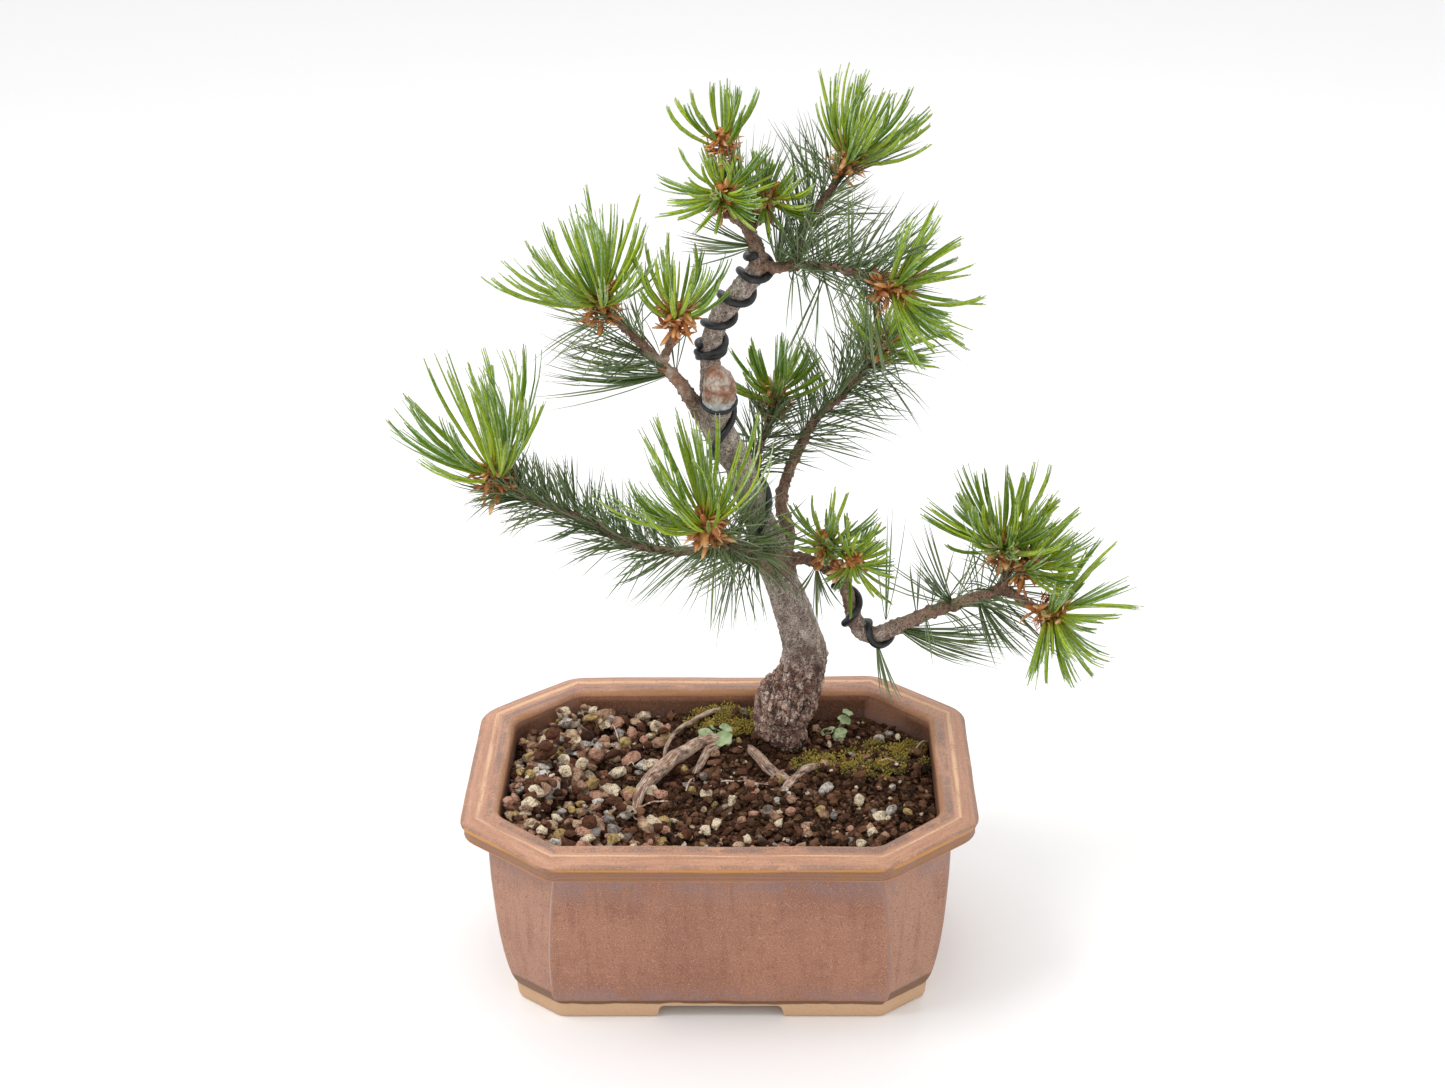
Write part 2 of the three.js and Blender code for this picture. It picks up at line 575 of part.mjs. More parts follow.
// A seedling: a few round-lobed leaves on short stalks from one crown.
function makeWeed({ at, leaves, size }) {
  const crown = new THREE.Vector3(foot.x + at[0], foot.y + at[1], soilTop + gap);
  const solids = [limb([[...crown, 1], [crown.x, crown.y, crown.z + 3, 0.8]], { sides: 6, steps: 1 })];
  for (let i = 0; i < leaves; i += 1) {
    const turn = (i / leaves) * 2 * Math.PI + 0.4;
    const out = new THREE.Vector3(Math.cos(turn), Math.sin(turn), 0);
    const tip = crown.clone().addScaledVector(out, size * 1.5).setZ(crown.z + 5 + wave(i, 2));
    solids.push(limb([[crown.x, crown.y, crown.z + 1.5, 0.6], [...tip, 0.5]], { sides: 4, steps: 1 }));
    const blade = new THREE.SphereGeometry(size, 6, 3).rotateX(Math.PI / 2).scale(1, 0.8, 0.16);
    solids.push(toSolid(blade.rotateZ(turn).translate(...tip)));
  }
  return join(solids);
}

const weeds = {
  weed_left: { at: [-33, 2, 0], leaves: 4, size: 3.4 },
  weed_right: { at: [21, 4, 0], leaves: 4, size: 3.4 },
};

// ---- putting it together ----

const bonsai = new THREE.Group();

function addPiece(name, finish, solid) {
  const [color, roughness, metalness] = finishes[finish];
  const material = new THREE.MeshStandardMaterial({ color, roughness, metalness });
  const mesh = new THREE.Mesh(toGeometry(solid), material);
  mesh.name = name;
  bonsai.add(mesh);
}

function makeSoil() {
  const pockets = [-0.5, 0.5].map((share) => {
    const side = screenSize + 2 * gap;
    const height = 2 * (screenThickness + 2 * gap);
    return movedBox(side, side, height, share * drainHoleSpacing, 0, floorTop);
  });
  return octagonSolid(cavitySections(soilTop, gap)).subtract(join(pockets)).subtract(trunkSolid(gap));
}

addPiece('pot', 'glaze', makePot());
addPiece('drain_screen_left', 'mesh', makeScreen(-drainHoleSpacing / 2));
addPiece('drain_screen_right', 'mesh', makeScreen(drainHoleSpacing / 2));
addPiece('soil', 'soil', makeSoil());
addPiece('trunk', 'bark', trunkSolid());

[trunkStations, leaderStations, ...Object.values(trunkForks)].forEach((stations) => {
  noteLimb('trunk', atFoot(stations));
});
let wood = trunkSolid(gap);       // everything that the next branch must clear
for (const [name, limbs] of Object.entries(branchStations)) {
  addPiece(`branch_${name}`, 'bark', branchSolid(name).subtract(wood));
  wood = wood.add(branchSolid(name, gap));
  limbs.forEach((stations) => noteLimb(`branch_${name}`, atFoot(stations)));
}
for (const name of Object.keys(rootStations)) {
  addPiece(name, 'root', limb(rootOnSurface(name), { sides: 7 }));
  noteLimb(name, rootOnSurface(name));
}
addPiece('gravel_bed', 'grit', makeGritBed());
for (const [name, patch] of Object.entries(mossPatches)) addPiece(name, 'moss', makeMoss(patch));
for (const [name, plant] of Object.entries(weeds)) addPiece(name, 'weed', makeWeed(plant));

for (const [name, route] of Object.entries(wireRoutes)) {
  const points = route.map((point) => pushOff(new THREE.Vector3(...point).add(foot), wireRadius));
  const curve = new THREE.CatmullRomCurve3(points);
  const spots = curve.getSpacedPoints(route.length * 2).map((spot) => pushOff(spot, wireRadius));
  const stations = spots.map((spot) => [...spot, wireRadius]);
  addPiece(name, 'wire', limb(stations, { sides: 6, steps: stations.length }));
  noteLimb(name, stations);
}

for (const name of Object.keys(tufts)) addPiece(name, 'newNeedles', makeTuft(name));
for (const name of Object.keys(oldNeedles)) addPiece(name, 'oldNeedles', makeOldNeedles(name));

const box = new THREE.Box3().setFromObject(bonsai);
const middle = box.getCenter(new THREE.Vector3());
bonsai.position.set(-middle.x, -middle.y, -box.min.z);

export default bonsai;
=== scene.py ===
import math
import random

import bmesh
import bpy
from mathutils import Euler, Matrix, Quaternion, Vector, noise
from mathutils.bvhtree import BVHTree
from mathutils.kdtree import KDTree


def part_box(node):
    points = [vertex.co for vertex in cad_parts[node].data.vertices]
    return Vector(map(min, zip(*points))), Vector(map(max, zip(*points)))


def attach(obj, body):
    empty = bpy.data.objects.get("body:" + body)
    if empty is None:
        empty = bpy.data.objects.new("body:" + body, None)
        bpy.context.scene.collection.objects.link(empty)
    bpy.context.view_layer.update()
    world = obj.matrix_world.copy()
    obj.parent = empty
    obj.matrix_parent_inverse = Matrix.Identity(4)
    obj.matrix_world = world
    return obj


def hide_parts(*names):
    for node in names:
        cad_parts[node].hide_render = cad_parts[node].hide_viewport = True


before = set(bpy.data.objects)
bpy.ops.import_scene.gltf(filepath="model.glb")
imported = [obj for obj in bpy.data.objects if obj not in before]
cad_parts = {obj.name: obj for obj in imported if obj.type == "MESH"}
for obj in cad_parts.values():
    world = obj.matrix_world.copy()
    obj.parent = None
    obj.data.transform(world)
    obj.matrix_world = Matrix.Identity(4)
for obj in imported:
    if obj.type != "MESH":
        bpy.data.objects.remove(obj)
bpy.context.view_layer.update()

mm = 0.001
golden = math.pi * (3 - math.sqrt(5))
trunkPlace = (30, 44.7, 0)          # the trunk's foot from the pot's middle, mm

potLow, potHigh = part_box("pot")
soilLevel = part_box("soil")[1].z
potMiddle = Vector(((potLow.x + potHigh.x) / 2, (potLow.y + potHigh.y) / 2, 0))
trunkFoot = Vector(trunkPlace) * mm + potMiddle + Vector((0, 0, soilLevel))


def fromFoot(point):
    return trunkFoot + Vector(point[:3]) * mm


def addObject(name, data):
    made = bpy.data.objects.new(name, data)
    bpy.context.scene.collection.objects.link(made)
    return made


def lookingAt(place, aim):
    return Matrix.Translation(place) @ (aim - place).to_track_quat("-Z", "Y").to_matrix().to_4x4()


cameraSet = {"place": (26.1, -906.2, 631.8), "aim": (2.4, 0, 197.9), "roll": -0.91, "lens": 59.8}


def addCamera():
    lens = bpy.data.cameras.new("camera")
    lens.lens = cameraSet["lens"]
    lens.sensor_width = 36
    place, aim = (potMiddle + Vector(cameraSet[key]) * mm for key in ("place", "aim"))
    camera = addObject("camera", lens)
    camera.matrix_world = lookingAt(place, aim) @ Matrix.Rotation(math.radians(cameraSet["roll"]), 4, "Z")
    bpy.context.scene.camera = camera


addCamera()
print("camera in place")


# a colour from red, green and blue up to 255


def colour(red, green, blue):
    shares = [value / 255 for value in (red, green, blue)]
    return (*(v / 12.92 if v <= 0.04045 else ((v + 0.055) / 1.055) ** 2.4 for v in shares), 1)


class Signal:
    def __init__(self, tree, socket=None):
        self.tree = tree
        self.socket = socket

    # any node: its settings first, then the values or links of its sockets
    def node(self, kind, settings=None, inputs=None, output=0):
        made = self.tree.nodes.new(kind)
        for key, value in (settings or {}).items():
            if key == "stops":
                stops = made.color_ramp.elements
                while len(stops) < len(value):
                    stops.new(1)
                for stop, (place, tint) in zip(stops, value):
                    stop.position = place
                    stop.color = tint
            elif key == "interpolation":
                made.color_ramp.interpolation = value
            else:
                setattr(made, key, value)
        for key, value in (inputs or {}).items():
            if isinstance(value, Signal):
                self.tree.links.new(value.socket, made.inputs[key])
            else:
                made.inputs[key].default_value = value
        return Signal(self.tree, made.outputs[output] if len(made.outputs) else None)

    def maths(self, operation, first, second=0.0, clamp=False):
        settings = {"operation": operation, "use_clamp": clamp}
        return self.node("ShaderNodeMath", settings, {0: first, 1: second})

    def __add__(self, other):
        return self.maths("ADD", self, other)

    __radd__ = __add__

    def __sub__(self, other):
        return self.maths("SUBTRACT", self, other)

    def __rsub__(self, other):
        return self.maths("SUBTRACT", other, self)

    def __mul__(self, other):
        return self.maths("MULTIPLY", self, other)

    __rmul__ = __mul__

    def __truediv__(self, other):
        return self.maths("DIVIDE", self, other)

    def __pow__(self, other):
        return self.maths("POWER", self, other)

    def atMost(self, other):
        return self.maths("MINIMUM", self, other)

    def atLeast(self, other):
        return self.maths("MAXIMUM", self, other)

    def size(self):
        return self.maths("ABSOLUTE", self)

    def held(self):
        return self.maths("ADD", self, 0, clamp=True)

    # 0 below low, 1 above high, soft between
    def step(self, low, high):
        inputs = {"Value": self, "From Min": low, "From Max": high}
        return self.node("ShaderNodeMapRange", {"interpolation_type": "SMOOTHSTEP"}, inputs)

    def under(self, low, high):
        return 1 - self.step(low, high)

    # 1 close to a value, 0 further than high from it
    def near(self, value, low, high):
        return (self - value).size().under(low, high)

    # self as the share of second over first
    def tint(self, first, second, way="MIX"):
        first, second = (t if isinstance(t, Signal) else colour(*t) for t in (first, second))
        settings = {"data_type": "RGBA", "blend_type": way}
        return self.node("ShaderNodeMix", settings, {0: self, 6: first, 7: second}, 2)

    # layers of share and tint laid over self, one after another
    def over(self, *layers):
        base = self
        for share, tint in layers:
            base = share.tint(base, tint)
        return base

    def attribute(self, name, output="Fac"):
        return self.node("ShaderNodeAttribute", {"attribute_name": name}, {}, output)

    def place(self):
        return self.node("ShaderNodeTexCoord", {}, {}, "Object")

    def moved(self, shift=(0, 0, 0), stretch=(1, 1, 1)):
        inputs = {"Vector": self, "Location": shift, "Scale": stretch}
        return self.node("ShaderNodeMapping", {}, inputs)

    def split(self):
        made = self.tree.nodes.new("ShaderNodeSeparateXYZ")
        self.tree.links.new(self.socket, made.inputs[0])
        return [Signal(self.tree, out) for out in made.outputs]

    def grain(self, scale, detail=4.0, rough=0.55, warp=0.0):
        inputs = {"Vector": self, "Scale": scale, "Detail": detail, "Roughness": rough, "Distortion": warp}
        return self.node("ShaderNodeTexNoise", {}, inputs)

    def cells(self, scale, feature="F1", output=0):
        return self.node("ShaderNodeTexVoronoi", {"feature": feature}, {"Vector": self, "Scale": scale}, output)


def startMaterial(name):
    material = bpy.data.materials.new(name)
    material.use_nodes = True
    material.node_tree.nodes.clear()
    return material, Signal(material.node_tree)


def finishMaterial(material, base, rough, height=None, depth=0.001, strength=1.0, gloss=0.5):
    start = Signal(material.node_tree)
    inputs = {"Base Color": base, "Roughness": rough, "Specular IOR Level": gloss}
    if height is not None:
        bumpInputs = {"Height": height, "Distance": depth, "Strength": strength}
        inputs["Normal"] = start.node("ShaderNodeBump", {}, bumpInputs)
    surface = start.node("ShaderNodeBsdfPrincipled", {}, inputs)
    start.node("ShaderNodeOutputMaterial", {}, {"Surface": surface})
    return material


def meshFrom(name, shape):
    mesh = bpy.data.meshes.new(name)
    shape.to_mesh(mesh)
    shape.free()
    return mesh


def looseObject(name, shape):
    return addObject(name, meshFrom(name, shape))


def addMesh(name, mesh, material, slot, nodes=(), smooth=True):
    mesh.materials.clear()
    mesh.materials.append(material)
    mesh.polygons.foreach_set("use_smooth", [smooth] * len(mesh.polygons))
    piece = addObject(name, mesh)
    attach(piece, "root")
    if nodes:
        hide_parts(*nodes)
    return piece


def addPiece(name, shape, *finish):
    return addMesh(name, meshFrom(name, shape), *finish)


def facesOut(shape):
    bmesh.ops.recalc_face_normals(shape, faces=shape.faces)


def capEnds(shape, rings):
    for ring in (rings[0], rings[-1]):
        bmesh.ops.contextual_create(shape, geom=ring)


def nextRing(shape, ring):
    edges = [shape.edges.get((ring[i - 1], ring[i])) for i in range(len(ring))]
    made = bmesh.ops.extrude_edge_only(shape, edges=edges)["geom"]
    fresh = {part for part in made if isinstance(part, bmesh.types.BMVert)}
    return [next(e.other_vert(v) for e in v.link_edges if e.other_vert(v) in fresh) for v in ring]


def lineTurns(points):
    last = len(points) - 1
    return [(points[min(i + 1, last)] - points[max(i - 1, 0)]).normalized() for i in range(last + 1)]


# a round limb through points, capped at both ends


def addLimb(shape, points, radii, sides):
    turns = lineTurns(points)
    ring = bmesh.ops.create_circle(shape, segments=sides, radius=1)["verts"]
    twist = turns[0].to_track_quat("Z", "Y")
    offsets = [v.co.copy() for v in ring]
    rings = []
    for i, (point, radius) in enumerate(zip(points, radii)):
        if i:
            twist = turns[i - 1].rotation_difference(turns[i]) @ twist
            ring = nextRing(shape, ring)
        for v, offset in zip(ring, offsets):
            v.co = point + twist @ (offset * radius)
        rings.append(ring)
    capEnds(shape, rings)
    return rings


# rows along a smooth line through knots, with anything after x, y and z blended along


def smoothLine(knots, count):
    rows = []
    last = len(knots) - 1
    for i in range(count):
        place = i / (count - 1) * last
        k = min(int(place), last - 1)
        t = place - k
        four = (knots[max(k - 1, 0)], knots[k], knots[k + 1], knots[min(k + 2, last)])
        rows.append([0.5 * (2 * b + (c - a) * t + (2 * a - 5 * b + 4 * c - d) * t * t
                            + (3 * b - a - 3 * c + d) * t ** 3) for a, b, c, d in zip(*four)])
    return rows


def smoothStep(low, high, value):
    share = min(max((value - low) / (high - low), 0), 1)
    return share * share * (3 - 2 * share)


def appliedMesh(piece):
    graph = bpy.context.evaluated_depsgraph_get()
    mesh = bpy.data.meshes.new_from_object(piece.evaluated_get(graph))
    bpy.data.objects.remove(piece)
    return mesh


# half lengths, half widths and corner cuts from the pot's middle, and heights, in mm
potSet = {
    "rim": (110, 81, 39, 34),
    "opening": (93.7, 64.7, 26.4, 25.5),
    "wallTop": (98.5, 69.5, 30, 26),
    "glazeLine": (88, 59, 19, 15),
    "wallHigh": 77.5,
    "glazeHigh": 8.3,
    "belly": 2.6,
    "baseSpread": 2.3,
    "wallThick": 7,
    "rimBand": 16.3,
    "rimRound": 16,
    "wallRound": 4,
    "notch": (59, 7, 6.5),
    "sideNotch": 36,
    "drain": (8, 90),
}


# angle and distance of an octagon's slanted sides


def slantOf(half):
    hx, hy, cx, cy = half
    slope = math.atan2(cx, cy)
    return slope, hx * math.cos(slope) + (hy - cy) * math.sin(slope)


# 40 points round an octagon with rounded corners


def octagonPoints(half, roundness):
    slope, slant = slantOf(half)
    quarter = [0, slope, math.pi / 2, math.pi - slope]
    angles = quarter + [a + math.pi for a in quarter] + [2 * math.pi]
    reach = [half[0], slant, half[1], slant] * 2 + [half[0]]
    points = []
    for j in range(8):
        a, b = angles[j], angles[j + 1]
        turn = math.sin(b - a)
        first, second = reach[j] - roundness, reach[j + 1] - roundness
        x = (first * math.sin(b) - second * math.sin(a)) / turn
        y = (second * math.cos(a) - first * math.cos(b)) / turn
        for i in range(5):
            angle = a + (b - a) * i / 4
            points.append((x + roundness * math.cos(angle), y + roundness * math.sin(angle)))
    return points


def shrunk(half, distance):
    hx, hy, cx, cy = half
    return (hx - distance, hy - distance, max(cx - 0.58 * distance, 4), max(cy - 0.58 * distance, 4))


def between(first, second, share):
    return tuple(a + (b - a) * share for a, b in zip(first, second))


# the wall's outline at a height


def wallAt(z):
    share = (potSet["wallHigh"] - z) / (potSet["wallHigh"] - potSet["glazeHigh"])
    plain = between(potSet["wallTop"], potSet["glazeLine"], share)
    bow = potSet["belly"] * math.sin(math.pi * share) + potSet["baseSpread"] * smoothStep(0.3, 1.0, share)
    return (plain[0] + bow, plain[1] + bow, plain[2], plain[3])


# the pot's outline from its inside floor up, over the rim and down to the underside: height, octagon, roundness


def potStations():
    rim, opening, band, thick = (potSet[key] for key in ("rim", "opening", "rimBand", "wallThick"))
    inner = [(z, shrunk(wallAt(z), thick), corner) for z, corner in ((13.8, 5), (45, 6))]
    inner += [(74, opening, 8), (86.6, opening, 9), (88.4, shrunk(opening, -0.2), 9)]
    # over the rim: height, and distance outwards from the opening
    top = [(89.8, 0.6), (90.5, 1.5), (90.9, 2.7), (90.8, 4.2), (90.4, 5.4), (90.2, 6.8), (90.5, 8.2)]
    top += [(90.8, 9.4), (90.7, 10.8), (90.2, 12.4), (89.8, 13.8)]
    top = [(z, between(opening, rim, out / band), 9 + 7 * out / band) for z, out in top]
    # round the lip's edge: height, and distance in from the rim's outline
    lip = [(89.5, 1.2), (89.3, 0.6), (88.8, 0.1), (88.1, 0), (87.4, 0.3), (86.8, 0.9), (86.3, 1.2)]
    lip += [(85.2, 1.4), (83.9, 1.5), (83, 1.5), (82.5, 1.3), (82.1, 1.5), (81.8, 2.3), (81.2, 5), (79.8, 9.6)]
    lip = [(z, shrunk(rim, d), potSet["rimRound"] - 0.5 * d) for z, d in lip]
    heights = (77.6, 75, 70, 62, 52, 42, 33, 25, 18)
    wall = [(z, wallAt(z), potSet["wallRound"] + 2 * smoothStep(60, 77, z)) for z in heights]
    wall += [(13.5, wallAt(13.5), 5), (10.5, shrunk(wallAt(10.5), 0.3), 6)]
    wall += [(9, shrunk(wallAt(9), 0.7), 6), (8.4, shrunk(wallAt(8.4), 1.0), 6)]
    foot = [(7.9, 1.3), (5, 1.5), (1.6, 1.9), (0.5, 2.4), (0, 3.2)]
    foot = [(z, shrunk(potSet["glazeLine"], d - 0.6 - potSet["baseSpread"]), 6) for z, d in foot]
    under = [(0, 15.2), (0.4, 15.8), (6.2, 16.2), (6.8, 17)]
    under = [(z, shrunk(potSet["glazeLine"], d), 4) for z, d in under]
    return inner + top + lip + wall + foot + under


def cutterBox(size, place, taper=1.0):
    shape = bmesh.new()
    made = bmesh.ops.create_cube(shape, size=1)["verts"]
    bmesh.ops.scale(shape, verts=made, vec=Vector(size) * mm)
    top = [v for v in made if v.co.z > 0]
    bmesh.ops.scale(shape, verts=top, vec=(taper, 1, 1) if size[1] > size[0] else (1, taper, 1))
    edges = [e for e in shape.edges if all(v in top for v in e.verts)]
    bmesh.ops.bevel(shape, geom=edges, offset=1.6 * mm, segments=4, profile=0.5, affect="EDGES", material=-1)
    bmesh.ops.translate(shape, verts=shape.verts, vec=potMiddle + Vector(place) * mm)
    return looseObject("cutter", shape)


def cutterRound(radius, place):
    shape = bmesh.new()
    bmesh.ops.create_cone(shape, cap_ends=True, segments=32, radius1=radius * mm, radius2=radius * mm, depth=30 * mm)
    bmesh.ops.translate(shape, verts=shape.verts, vec=potMiddle + Vector(place) * mm)
    return looseObject("cutter", shape)


def cutAway(piece, cutters):
    for cutter in cutters:
        cut = piece.modifiers.new("cut", "BOOLEAN")
        cut.operation = "DIFFERENCE"
        cut.solver = "EXACT"
        cut.object = cutter
    mesh = appliedMesh(piece)
    for cutter in cutters:
        bpy.data.objects.remove(cutter)
    return mesh


def glazeMaterial():
    material, start = startMaterial("speckled glaze")
    place = start.place().moved(shift=tuple(-potMiddle))
    x, y, z = place.split()
    # distance in from the rim's octagon, metres
    slope, slant = slantOf(potSet["rim"])
    toSide = (potSet["rim"][0] * mm - x.size()).atMost(potSet["rim"][1] * mm - y.size())
    inFromRim = toSide.atMost(slant * mm - (x.size() * math.cos(slope) + y.size() * math.sin(slope)))
    broad = place.grain(22, 3)
    cloud = place.grain(70, 5, 0.6)
    speck = place.grain(900, 3, 0.7)
    fine = place.grain(2300, 2, 0.6)
    run = place.moved(stretch=(1, 1, 0.12)).grain(240, 4, 0.6)
    facet = start.node("ShaderNodeTexCoord", {}, {}, "Normal").split()[0].size()
    facet = facet.step(0.35, 0.5) * facet.under(0.8, 0.9)
    # the rim is paler, with long soft streaks that follow its edge
    onTop = z.step(0.0883, 0.0892)
    follow = place.node("ShaderNodeCombineXYZ", {}, {"X": x * 14, "Y": y * 14, "Z": inFromRim * 190})
    streak = follow.grain(1.9, 4, 0.6)
    line = follow.grain(6.5, 3, 0.6)
    ridge = inFromRim.near(0.0078, 0.0002, 0.0013) * 0.75
    grey = inFromRim.near(0.0122, 0.0008, 0.0026) + inFromRim.under(0.0014, 0.003) * 0.8
    grey = grey.held() * (cloud * 0.5 + streak * 0.3 + speck * 0.2).step(0.42, 0.54)
    rust = inFromRim.near(0.0148, 0.0004, 0.0014) + inFromRim.under(0.0004, 0.0013)
    topTint = streak.step(0.35, 0.65).tint((176, 126, 100), (196, 146, 118)).over(
        (line.step(0.45, 0.62) * 0.4, (158, 114, 94)),
        (ridge * streak.step(0.3, 0.55), (236, 194, 154)),
        (grey * 0.85, (122, 98, 90)),
        (rust.held() * (cloud + broad).step(0.86, 1.04) * 0.6, (146, 102, 62)),
        (fine.step(0.5, 0.68) * 0.5, (216, 176, 146)),
        (speck.step(0.54, 0.7) * 0.5, (132, 92, 74)),
    )
    # lavender-grey bloom under the lip, beside the corners and near the foot
    corner = start.attribute("corner")
    bloom = (z.step(0.060, 0.079) + z.under(0.011, 0.022) * 0.8 + corner.step(0.1, 0.7) * 0.9).held()
    bloom = bloom * (cloud * 0.5 + run * 0.3 + speck * 0.2).step(0.42, 0.56) * z.under(0.0815, 0.0825)
    # ochre and brown where the glaze breaks over edges, with a painted highlight: the corners on the left, towards the
    # key light, are painted pale
    arris = corner.step(0.7, 0.96) * z.step(0.012, 0.02) * z.under(0.077, 0.081)
    arrisLitLeftTint = x.step(-0.02, 0.02).tint((206, 166, 138), (164, 108, 58))
    band = z.near(0.0846, 0.0016, 0.0026) * inFromRim.under(0.003, 0.005)
    bandTint = start.maths("SINE", z * 9000).step(-0.4, 0.8).tint((112, 76, 54), (168, 120, 94))
    lipPatch = z.near(0.0872, 0.001, 0.002) * inFromRim.under(0.0012, 0.0022)
    edge = z.near(0.0884, 0.0003, 0.0008) * inFromRim.under(0.0006, 0.0012) * 0.9
    edge = edge.atLeast(inFromRim.near(0.0161, 0.0001, 0.0005) * z.step(0.0885, 0.0895) * 0.5)
    edge = edge.atLeast(z.near(0.0825, 0.0001, 0.0004) * inFromRim.under(0.002, 0.003) * 0.35)
    # dark line at the glaze's lower edge, bare clay below it, dark unglazed wall inside
    wavy = z - facet * 0.0012 + (broad - 0.5) * 0.004 + (cloud - 0.5) * 0.002
    toFoot = facet * 0.0042
    bare = wavy.under(0.0072, 0.0078)
    inside = z.step(0.06, 0.065) * z.under(0.0855, 0.0885) * inFromRim.step(0.0155, 0.0165)
    base = broad.step(0.35, 0.65).tint((146, 96, 74), (162, 112, 88)).over(
        (facet * 0.55, (170, 128, 106)),
        (run.step(0.46, 0.72) * 0.6, (134, 82, 60)),
        (cloud.step(0.5, 0.72) * 0.55, (136, 86, 66)),
        (speck.step(0.54, 0.7) * 0.75, (108, 68, 52)),
        (fine.step(0.53, 0.68) * 0.7, (204, 160, 130)),
        (onTop, topTint),
        (bloom * 0.62, (146, 124, 124)),
        ((arris * (cloud * 1.1 - 0.05)).held(), arrisLitLeftTint),
        (band * 0.8, bandTint.over((cloud.step(0.45, 0.6) * 0.6, (150, 104, 52)))),
        (lipPatch * (cloud * 0.6 + broad * 0.4).step(0.4, 0.56) * 0.85, (140, 96, 50)),
        ((edge * (0.3 + cloud * 1.2)).held(), (200, 138, 66)),
        (wavy.under(0.0086 + toFoot, 0.0102 + toFoot) * 0.9, (112, 76, 44)),
        (bare, (speck.step(0.5, 0.75) * 0.5).tint((200, 164, 130), (178, 140, 108))),
        (inside * 0.8, speck.step(0.45, 0.6).tint((74, 46, 28), (118, 80, 52))),
    )
    rough = 0.4 + speck * 0.2 + bare * 0.35 + inside * 0.3
    height = speck * 0.6 + fine * 0.25 + cloud * 0.8 + (streak * 1.2 + line * 0.5) * onTop
    return finishMaterial(material, base, rough, height, 0.0004, 0.6)


def makePot():
    shape = bmesh.new()
    corner = shape.verts.layers.float.new("corner")
    ring = bmesh.ops.create_circle(shape, segments=40, radius=1)["verts"]
    rings = []
    for i, (z, half, roundness) in enumerate(potStations()):
        if i:
            ring = nextRing(shape, ring)
        for j, (v, (x, y)) in enumerate(zip(ring, octagonPoints(half, roundness))):
            v.co = potMiddle + Vector((x, y, z)) * mm
            v[corner] = (0, 0.5, 1, 0.5, 0)[j % 5]
        rings.append(ring)
    capEnds(shape, rings)
    facesOut(shape)
    level = [e for e in shape.edges if abs(e.verts[0].co.z - e.verts[1].co.z) < 0.01 * mm]
    sides = [e for e in level if e.calc_length() > 20 * mm]
    bmesh.ops.subdivide_edges(shape, edges=sides, cuts=7, use_grid_fill=True)
    for v in shape.verts:
        high = smoothStep(0.079, 0.084, v.co.z)
        v.co.z += noise.noise(v.co * 26) * 1.1 * mm * high
        v.co.z += smoothStep(0.01, 0.075, v.co.y) * 1.3 * mm * high
        inwards = 1 - abs(noise.noise(v.co * 21 + Vector((0, 0, 9)))) * 0.009 * high
        v.co.x, v.co.y = v.co.x * inwards, v.co.y * inwards
    body = looseObject("pot body", shape)
    length, taper, high = potSet["notch"]
    radius, spacing = potSet["drain"]
    cutters = [
        cutterBox((length, 190, 2 * high), (0, 0, 0), 0.88),
        cutterBox((240, potSet["sideNotch"], 2 * high), (0, 0, 0), 0.86),
        cutterRound(radius, (-spacing / 2, 0, 10)),
        cutterRound(radius, (spacing / 2, 0, 10)),
    ]
    mesh = cutAway(body, cutters)
    pot = addMesh("pot_body", mesh, glazeMaterial(), "glaze", ["pot"])
    mesh.set_sharp_from_angle(angle=math.radians(38))
    return pot


makePot()
print("pot made")

